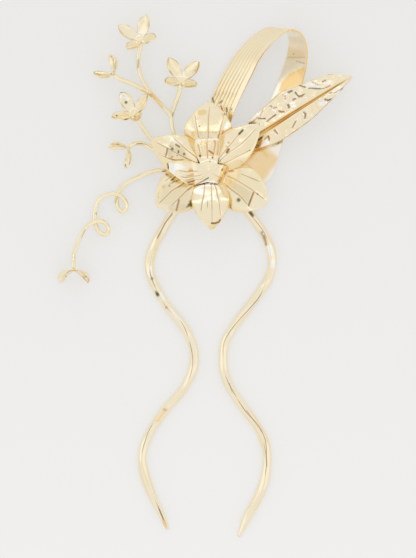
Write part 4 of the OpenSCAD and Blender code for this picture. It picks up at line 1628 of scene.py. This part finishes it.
        # Painted shade in the creases and the midrib, deep gold of painted reflection in the
        # valleys, creases and midrib, and painted highlights on the lips, the tongue and between
        # the creases
        tone = max(value * mark.line for value, mark in zip(strong, self.creases)) * away
        shade = max(value * mark.shade for value, mark in zip(strong, self.creases)) * away
        slope, warmth = self.valley
        valley = 1 - clamp(pillows(along, wide, *self.large[:2]) * slope)
        warm = max(warmth * valley * away, self.root.near(along, wide), self.crease_warmth * deep)
        if abs(share) < rib * self.rib_slack:
            across = share / rib
            warm = max(warm, broad * self.stripe(across, self.warm_stripe))
            tone = max(tone, broad * self.stripe(across, self.dark_stripe))
            shade = max(shade, broad * self.stripe(across, self.shade_stripe))
        if abs(share) > EDGE:
            warm = max(warm, self.rim_tones[0])
            tone = max(tone, self.rim_tones[1 if share > 0 else 2])
        groove = ease(self.rib_floor - abs(share) / rib) if abs(share) < rib else 0.0
        tongue = self.tongue_highlight * (1 - ease((along - self.tongue_end) / length))
        bright = max(clamp(lips - self.lip_cut * deep), tongue,
                     *(mark.near(along, wide) for mark in self.highlight_marks))
        bright *= ease((abs(share) / rib - 1) * self.beside_rib[1])
        turn = math.radians(self.direction)
        x = self.origin[0] + along * math.cos(turn) - wide * math.sin(turn)
        y = self.origin[1] + along * math.sin(turn) + wide * math.cos(turn)
        return Spot(Vector((x, y, z)), groove, tone, warm, shade, bright)

    def build(self) -> Piece:
        """Makes the leaf.

        Returns:
            The finished leaf.
        """
        laid = []
        for k in range((len(self.rows) - 1) * self.steps + 1):
            row = curve_at(self.rows, k / self.steps)
            rib = self.rib_share(row)
            side = [mix(1.0, rib, i / self.side_points) for i in range(self.side_points + 1)]
            shares = side + [rib * point for point in self.rib_points]
            shares += [-share for share in reversed(side)]
            laid.append([self.spot(row, share, rib) for share in shares])
        leaf = Bench.lay("leaf_blade", laid)
        Bench.thicken(leaf, self.thickness, self.bright_below)
        Bench.chase(leaf, self.rib_depth)
        Bench.outwards(leaf)
        Bench.smooth(leaf, 1)
        return Bench.finish(leaf, self.gold, "leaf")


# ------------------------------------------------------------------ sprays

# Petals that spread and then bend forwards, softly and far. Columns as in Floret.shape
SOFT_BEND: Sequence[Row] = (
    (1.7, 1.25, .35, .1), (3.5, 1.7, .85, .5), (5.0, 1.6, 1.9, .8), (6.0, 1.05, 3.1, .5),
    (6.4, .05, 4.2, 0))
FAR_BEND: Sequence[Row] = (
    (1.7, 1.25, .1, .1), (3.9, 1.7, .3, .3), (5.4, 1.5, 1.3, .4), (6.4, .95, 2.9, .3),
    (6.8, .05, 4.5, 0))


@dataclass
class Floret:
    """A floret of four cupped petals on the end of its stem."""

    number: int
    seat: tuple[float, float, float]
    direction: float               # direction in which it leans, in degrees
    tilt: float                    # how far it leans from the vertical
    turn: float                    # turn about its own axis
    size: float
    open: float = 1.0              # how far its petals spread, as a share
    width: float = 1.0             # width of its petals, as a share
    petals: int = 4
    thickness: float = 0.5
    hub_radius: float = 1.2
    hub_rings: Sequence[float] = (0.5,)
    steps: int = 4                 # rows of points between two rows of the shape
    foot_steps: int = 2            # rows of points between the hub's rim and a petal
    side_lift: float = 0.9         # how much higher petals stand that spread less
    wave: Point = (0.14, 2.2)      # height and width of a wave of the metal
    dent: Point = (0.05, 0.8)      # height and width of a small dent
    across: Sequence[float] = (1, .8, .5, .25, 0, -.25, -.5, -.8, -1)      # points across a petal
    rim: tuple[float, float, float] = (0.15, 0.7, 0.45)        # dark line, painted deep gold and painted dark reflection along the rim
    edge_tint: Row = (0.3, 1.6, 1.7)    # strength of the rim's painted tones: least, how far it varies and size of a patch
    painted_highlight: float = 0.25           # painted highlight on the middle
    highlight_rows: int = 7           # rows of points over which that ends
    # Columns: distance from the axis, half width, height, height of the edges
    shape: Sequence[Row] = (
        (1.7, 1.5, .45, .1), (3.1, 1.95, 1.25, .35), (4.6, 1.9, 2.35, .5), (5.9, 1.15, 3.4, .3),
        (6.8, .05, 4.15, 0))
    marks: Sequence[Mark] = ()

    @property
    def axis(self) -> Vector:
        """The direction in which the floret faces."""
        t, a = math.radians(self.tilt), math.radians(self.direction)
        return Vector((math.sin(t) * math.cos(a), math.sin(t) * math.sin(a), math.cos(t)))

    def behind(self, distance: float) -> Row:
        """Gives the point at a distance behind the seat."""
        return tuple(Vector(self.seat) - distance * self.axis)

    @property
    def petal_rows(self) -> list[Row]:
        """The table of one petal at the floret's size, in mm."""
        lift = 1 + self.side_lift * (1 - self.open)
        return [(self.size * out * self.open, self.size * half * self.width,
                 self.size * height * lift, self.size * edge)
                for out, half, height, edge in self.shape]

    def across_petal(self, k: int, count: int) -> list[Spot]:
        """Gives the places of one row across a petal, which points along x.

        Args:
            k: number of the row, below 0 where it lies between the hub's rim and the petal.
            count: number of the last row.

        Returns:
            The spots, from the left edge to the right.
        """
        out, half, height, edge = curve_at(self.petal_rows, max(k, 0) / self.steps)
        free = ease(3 * max(k, 0) / count)
        painted_highlight = self.painted_highlight * ease(1 - k / self.highlight_rows)
        least, varied, patch = self.edge_tint
        made = []
        for share in self.across:
            z = height + edge * share * share
            z += free * self.wave[0] * ripple(out, share * 2, self.wave[1], self.number + 1)
            z += self.dent[0] * ripple(out, share * 2, self.dent[1], self.number + 20)
            spot = Vector((out, share * half, z))
            if k < 0:
                turn = math.radians(share * FULL_TURN / self.petals / 2)
                foot = self.hub_radius * Vector((math.cos(turn), math.sin(turn), 0))
                spot = foot.lerp(spot, (k + self.foot_steps) / self.foot_steps)
            # Painted tones along the rim, varied at random
            rim_strength = clamp(least + varied * ripple(out, share * 3, patch, self.number + 7))
            rim = rim_strength if k >= 0 and (abs(share) == 1 or k == count) else 0.0
            line, warm, shade = (tone * rim for tone in self.rim)
            made.append(Spot(spot, line=line, warm=warm, shade=shade, bright=painted_highlight))
        return made

    def petal(self) -> Piece:
        """Models one petal, which points along x.

        Returns:
            The petal's sheet.
        """
        count = (len(self.shape) - 1) * self.steps
        laid = [self.across_petal(k, count) for k in range(-self.foot_steps, count + 1)]
        return Bench.lay(f"floret_petal_{self.number}", laid)

    def build(self, gold: Finish) -> Piece:
        """Makes the floret.

        Args:
            gold: its finish.

        Returns:
            The finished floret.
        """
        petals = [self.petal()]
        for _ in range(1, self.petals):
            copy = petals[0].copy()
            copy.data = petals[0].data.copy()
            bpy.context.collection.objects.link(copy)
            petals.append(copy)
        for k, petal in enumerate(petals):
            Bench.pick(petal)
            petal.rotation_euler = (0, 0, math.radians(FULL_TURN / self.petals * k))
            bpy.ops.object.transform_apply(location=False, rotation=True, scale=False)
        whole = Bench.join(petals, f"floret_bloom_{self.number}")
        Bench.close_hub(whole, Vector(), self.hub_radius, 0.0, self.hub_rings)
        Bench.thicken(whole, self.thickness)
        Bench.outwards(whole)
        Bench.smooth(whole, 2)
        Bench.pick(whole)
        whole.matrix_world = (Matrix.Translation(self.seat)
                              @ Matrix.Rotation(math.radians(self.direction), 4, "Z")
                              @ Matrix.Rotation(math.radians(self.tilt), 4, "Y")
                              @ Matrix.Rotation(math.radians(self.turn), 4, "Z"))
        bpy.ops.object.transform_apply(location=True, rotation=True, scale=True)
        Bench.stain(whole, self.marks)
        return Bench.finish(whole, gold, f"floret_{self.number}")


@dataclass
class Spray:
    """Round wires along routes, soldered into one stem."""

    name: str
    node: str
    gold: Finish
    routes: Sequence[Sequence[Row]]        # columns: x, y and height of a wire's middle
    diameter: float = 1.35
    step: float = 1.1              # distance between two rows of points
    sides: int = 10                # points round a wire
    unevenness: float = 0.05       # share of the radius
    marks: Sequence[Mark] = ()

    def wire(self, number: int, route: Sequence[Row]) -> Piece:
        """Makes one wire along a route.

        Args:
            number: number of the wire.
            route: its route.

        Returns:
            The wire.
        """
        points = [Vector(row[:3]) for row in even_curve(route, self.step)]
        laid = []
        for i, point in enumerate(points):
            ahead = heading(points, i)
            side = ahead.cross(Vector((0, 0, 1))).normalized()
            up = side.cross(ahead)
            radius = self.diameter / 2 * (1 + self.unevenness * ripple(i * 0.5, number * 9, 1, 21))
            turns = [2 * math.pi * (j % self.sides) / self.sides for j in range(self.sides + 1)]
            laid.append([Spot(point + radius * (math.cos(turn) * up + math.sin(turn) * side))
                         for turn in turns])
        tube = Bench.lay(f"{self.name}_{number}", laid)
        Bench.merge(tube)
        Bench.cap_ends(tube)
        return tube

    def build(self) -> Piece:
        """Makes the stem.

        Returns:
            The finished stem.
        """
        wires = [self.wire(number, route) for number, route in enumerate(self.routes)]
        stem = Bench.join(wires, self.name, merge=False)
        Bench.smooth(stem, 1)
        Bench.stain(stem, self.marks)
        return Bench.finish(stem, self.gold, self.node)


@dataclass
class Sprays:
    """The two forked stems and the curling tendril, with their six florets."""

    gold: Finish
    stub: float = 2.4              # straight length of a stem behind its floret
    gap: float = 0.15              # between a stem and its floret
    # Routes of the wires up to their florets
    tall: Sequence[Row] = (
        (-1.9, 34.4, STEM_Z), (-5, 36.9, STEM_Z), (-8, 39.9, 1.5), (-9.4, 43.4, 1.7),
        (-9.7, 46.6, 1.8), (-12, 49.4, 1.9), (-15.4, 53.2, 2.1), (-18.1, 57.4, 2.3),
        (-19.2, 61.4, 2.2), (-19, 65.4, 1.9))
    tall_side: Sequence[Row] = ((-14.2, 51.8, 2.0), (-17.2, 54, 2.1), (-20.8, 56, 2.9))
    tall_top: Sequence[Row] = ((-9.8, 46.2, 1.8), (-8.8, 49.2, 1.8), (-7.4, 53.2, 1.9))
    short: Sequence[Row] = (
        (-4.2, 32.2, STEM_Z), (-8.2, 34.2, STEM_Z), (-12, 37, 1.7), (-15.3, 39.8, 1.8),
        (-17.4, 42.6, 1.9), (-19, 45, 2.0))
    short_side: Sequence[Row] = ((-10.4, 35.8, 1.6), (-14.4, 36.9, 1.8), (-17.4, 38.6, 2.6))
    tendril: Sequence[Row] = (
        (-5.2, 30.3, STEM_Z), (-8.6, 30.8, STEM_Z), (-14, 30.9, 1.3), (-19.8, 28.8, 1.25),
        (-23.9, 26.4, 1.2), (-25.2, 23.8, 1.2), (-25.4, 21.4, 1.3), (-24.9, 19.7, 1.6),
        (-23.7, 18.9, 2.0), (-22.6, 19.8, 2.4), (-22.7, 21.6, 2.7), (-23.9, 23.2, 2.9),
        (-25.7, 24.1, 2.8), (-28, 24, 2.4), (-30.6, 22.5, 1.7), (-31.8, 19.4, 1.2),
        (-31.8, 16.2, 1.2), (-31, 13.7, 1.4), (-29.5, 12.3, 1.9), (-28.1, 12.7, 2.4),
        (-27.8, 14.2, 2.8), (-28.9, 15.8, 3.0), (-30.9, 16.3, 3.0), (-32.8, 15.7, 2.9),
        (-34.9, 13.8, 2.7), (-36.6, 10.4, 2.7), (-37.9, 6.6, 3.2))
    tendril_step: float = 0.85
    # The florets' marks are painted dark reflections, painted highlights, deeper gold of painted
    # reflection and dark lines
    florets: Sequence[Floret] = (
        Floret(1, (-18.8, 69.1, 4.0), direction=112, tilt=31, turn=45, size=.91),
        Floret(2, (-26.6, 59.1, 4.6), direction=138, tilt=72, turn=45, size=.80,
               open=.95, width=.8, shape=SOFT_BEND, marks=(
            Mark(seen((95, 71), (102, 70.3)), .15, shade=.6),
            Mark(seen((97, 73.5), (102.5, 75.5)), .2, warm=.9, line=.3),
            Mark(seen((107.5, 56.5), (107.8, 59)), .12, shade=.5),
            Mark(seen((111.3, 56.5)), .25, line=.5, warm=.6),
            Mark(seen((108, 65), (111, 71)), .12, line=.6, warm=.6))),
        Floret(3, (-6.7, 57.2, 4.0), direction=83, tilt=33, turn=45, size=.92),
        Floret(4, (-20.5, 47.6, 4.1), direction=122, tilt=36, turn=0, size=.90, marks=(
            Mark(seen((118.5, 92.5), (123, 92)), .2, shade=.6, warm=.5),
            Mark(seen((126, 102.5)), .4, shade=.9),
            Mark(seen((117, 96), (124, 96), (127, 100)), .5, bright=.8),
            Mark(seen((117, 116)), .25, shade=.8), Mark(seen((135, 117)), .3, shade=.7))),
        Floret(5, (-22.3, 37.1, 4.6), direction=219, tilt=80, turn=45, size=.83,
               open=.98, width=.75, shape=SOFT_BEND, marks=(
            Mark(seen((125.2, 164), (125, 166)), .14, shade=.9),
            Mark(seen((110.6, 144.6), (119.4, 145.5)), .15, line=.4, warm=.6),
            Mark(seen((125.3, 144.6)), .3, shade=.6), Mark(seen((125, 159.3)), .5, warm=.6))),
        Floret(6, (-37.9, 1.9, 4.6), direction=270, tilt=86, turn=45, size=.78,
               open=1.06, width=1.2, shape=FAR_BEND, marks=(
            Mark(seen((80.4, 277.2)), .25, shade=.7),
            Mark(seen((66.3, 276.8)), .35, line=.5, warm=.8),
            Mark(seen((84.3, 277.8)), .3, line=.5, warm=.5), Mark(seen((78, 270.5)), .3, warm=.6))))

    def reaching(self, route: Sequence[Row], number: int) -> list[Row]:
        """Gives a wire's route with the two points that carry it on to its floret."""
        floret = self.florets[number - 1]
        return [*route, floret.behind(self.stub), floret.behind(floret.thickness / 2 + self.gap)]

    def stems(self) -> list[Spray]:
        """Gives the three stems.

        Returns:
            The tall stem, the short one and the tendril.
        """
        tall = (self.reaching(self.tall, 1), self.reaching(self.tall_side, 2),
                self.reaching(self.tall_top, 3))
        short = (self.reaching(self.short, 4), self.reaching(self.short_side, 5))
        # The stems' marks are painted dark reflections, painted highlights, deeper gold of painted
        # reflection and dark lines
        return [
            Spray("tall_spray", "tall_stem", self.gold, tall, marks=(
                Mark(seen((151, 94), (155, 98), (162, 107)), .35, warm=.8),
                Mark(seen((138.3, 60), (138, 67)), .3, shade=.4),
                Mark(seen((171.7, 135)), .3, line=.8, warm=.5),
                Mark(seen((172.3, 112), (172.6, 116)), .2, shade=.6),
                Mark(seen((173.5, 118), (171.8, 128), (172.8, 134)), .15, bright=.8),
                Mark(seen((138.5, 71), (141, 80), (146, 88)), .15, bright=.8))),
            Spray("short_spray", "short_stem", self.gold, short),
            Spray("tendril_wire", "tendril_stem", self.gold, (self.reaching(self.tendril, 6),),
                  step=self.tendril_step, marks=(
                Mark(seen((163, 172), (165, 171)), .4, line=.6, shade=.4),
                Mark(seen((122, 173), (127, 171)), .3, shade=.4),
                Mark(seen((130, 166.5), (142, 161)), .3, bright=.8),
                Mark(seen((96, 213), (99, 217), (104, 220)), .2, line=.7, warm=.7),
                Mark(seen((115, 203), (117, 197)), .2, line=.4, warm=.6),
                Mark(seen((85, 230), (82, 238)), .2, shade=.3)))]

    def build(self) -> list[Piece]:
        """Makes the stems and the florets."""
        stems = [stem.build() for stem in self.stems()]
        return stems + [floret.build(self.gold) for floret in self.florets]


# ------------------------------------------------------------------ studio

class Place(Enum):
    """Where a soft light of the studio stands."""

    LEFT = "left"
    RIGHT = "right"
    NEAR = "near"
    FAR = "far"
    ABOVE = "above"


@dataclass(frozen=True)
class Lamp:
    """A soft light that faces the hairpin, in metres."""

    place: Place
    spot: tuple[float, float, float]
    size: Point
    radiance: float

    @property
    def power(self) -> float:
        """The power in watts that gives the light its radiance."""
        return self.radiance * math.pi * self.size[0] * self.size[1]


@dataclass
class Studio:
    """Plain pale table, soft light and the camera straight above, in metres."""

    paper: Finish
    dark: Finish
    centre: Point = (0.001015, -0.00058)
    view_height: float = 0.16182   # length on the table that the photograph shows
    distance: float = 1.2          # height of the lens over the middle of the hairpin
    hairpin_height: float = 0.003  # height of that middle over the table
    sensor: float = 36.0           # in millimetres
    far_clip: float = 20.0
    sky: float = 0.86
    sky_colour: Colour = (1.0, 0.995, 0.985)
    table_size: float = 8.0
    table_drop: float = 0.00002    # gap between the table top and the hairpin
    body_radius: float = 0.045
    body_behind: float = 0.05      # how far the camera's body is behind the lens
    body_corners: int = 48
    aim: tuple[float, float, float] = (0, 0.01, 0)         # where the lights face
    lamps: Sequence[Lamp] = (
        Lamp(Place.LEFT, (-1.2, 0.2, 0.8), size=(0.8, 1.2), radiance=0.15),
        Lamp(Place.RIGHT, (1.1, -0.1, 0.9), size=(0.7, 1.0), radiance=0.10),
        Lamp(Place.NEAR, (0.0, -1.2, 0.7), size=(1.4, 0.7), radiance=0.15),
        Lamp(Place.FAR, (0.0, 0.95, 0.66), size=(1.0, 0.12), radiance=0.8),
        Lamp(Place.ABOVE, (0.0, -0.40, 1.24), size=(0.8, 0.06), radiance=1.0))

    def table(self) -> None:
        """Adds the table top."""
        Bench.clear()
        bpy.ops.mesh.primitive_plane_add(size=self.table_size, location=(0, 0, -self.table_drop))
        top = bpy.context.object
        top.name = "table_top"
        top.data.materials.append(self.paper)

    def camera(self) -> None:
        """Adds the camera, which looks straight down."""
        height = self.distance + self.hairpin_height
        bpy.ops.object.camera_add(location=(*self.centre, height), rotation=(0, 0, 0))
        camera = bpy.context.object
        camera.data.sensor_width = self.sensor
        camera.data.lens = self.sensor * self.distance / self.view_height
        camera.data.clip_end = self.far_clip
        bpy.context.scene.camera = camera

    def light(self, lamp: Lamp) -> None:
        """Adds a soft light.

        Args:
            lamp: its place, size and radiance.
        """
        bpy.ops.object.light_add(type="AREA", location=lamp.spot)
        light = bpy.context.object
        light.name = f"{lamp.place.value}_lamp"
        light.data.shape = "RECTANGLE"
        light.data.size, light.data.size_y = lamp.size
        light.data.energy = lamp.power
        aim = Vector(self.aim) - Vector(lamp.spot)
        light.rotation_euler = aim.to_track_quat("-Z", "Y").to_euler()
        light.visible_camera = False

    def room(self) -> None:
        """Sets the even light of the room."""
        world = bpy.data.worlds.new("studio_room")
        bpy.context.scene.world = world
        world.use_nodes = True
        sky = world.node_tree.nodes["Background"]
        sky.inputs["Color"].default_value = (*self.sky_colour, 1.0)
        sky.inputs["Strength"].default_value = self.sky

    def camera_body(self) -> None:
        """Adds the dark body of the camera behind the lens, which shows in the polished metal."""
        Bench.clear()
        bpy.ops.mesh.primitive_circle_add(vertices=self.body_corners, radius=self.body_radius,
                                          fill_type="NGON",
                                          location=(*self.centre, self.distance + self.body_behind))
        body = bpy.context.object
        body.name = "camera_body"
        body.visible_camera = body.visible_diffuse = body.visible_shadow = False
        body.data.materials.append(self.dark)

    def build(self) -> None:
        """Sets up the studio."""
        self.table()
        self.room()
        self.camera_body()
        for lamp in self.lamps:
            self.light(lamp)
        self.camera()
        bpy.context.scene.view_settings.view_transform = "Standard"


def main() -> None:
    """Builds the hairpin and the studio."""
    logging.basicConfig(level=logging.INFO, format="%(message)s", stream=sys.stdout)
    gold = PolishedGold().build()
    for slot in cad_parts["back_disc"].material_slots:
        slot.material = gold
    Fork(gold).build()
    Flower(gold).build()
    Ribbon(gold).build()
    Leaf(gold).build()
    Sprays(gold).build()
    Studio(Paper().build(), DarkCloth().build()).build()


if __name__ == "__main__":
    main()
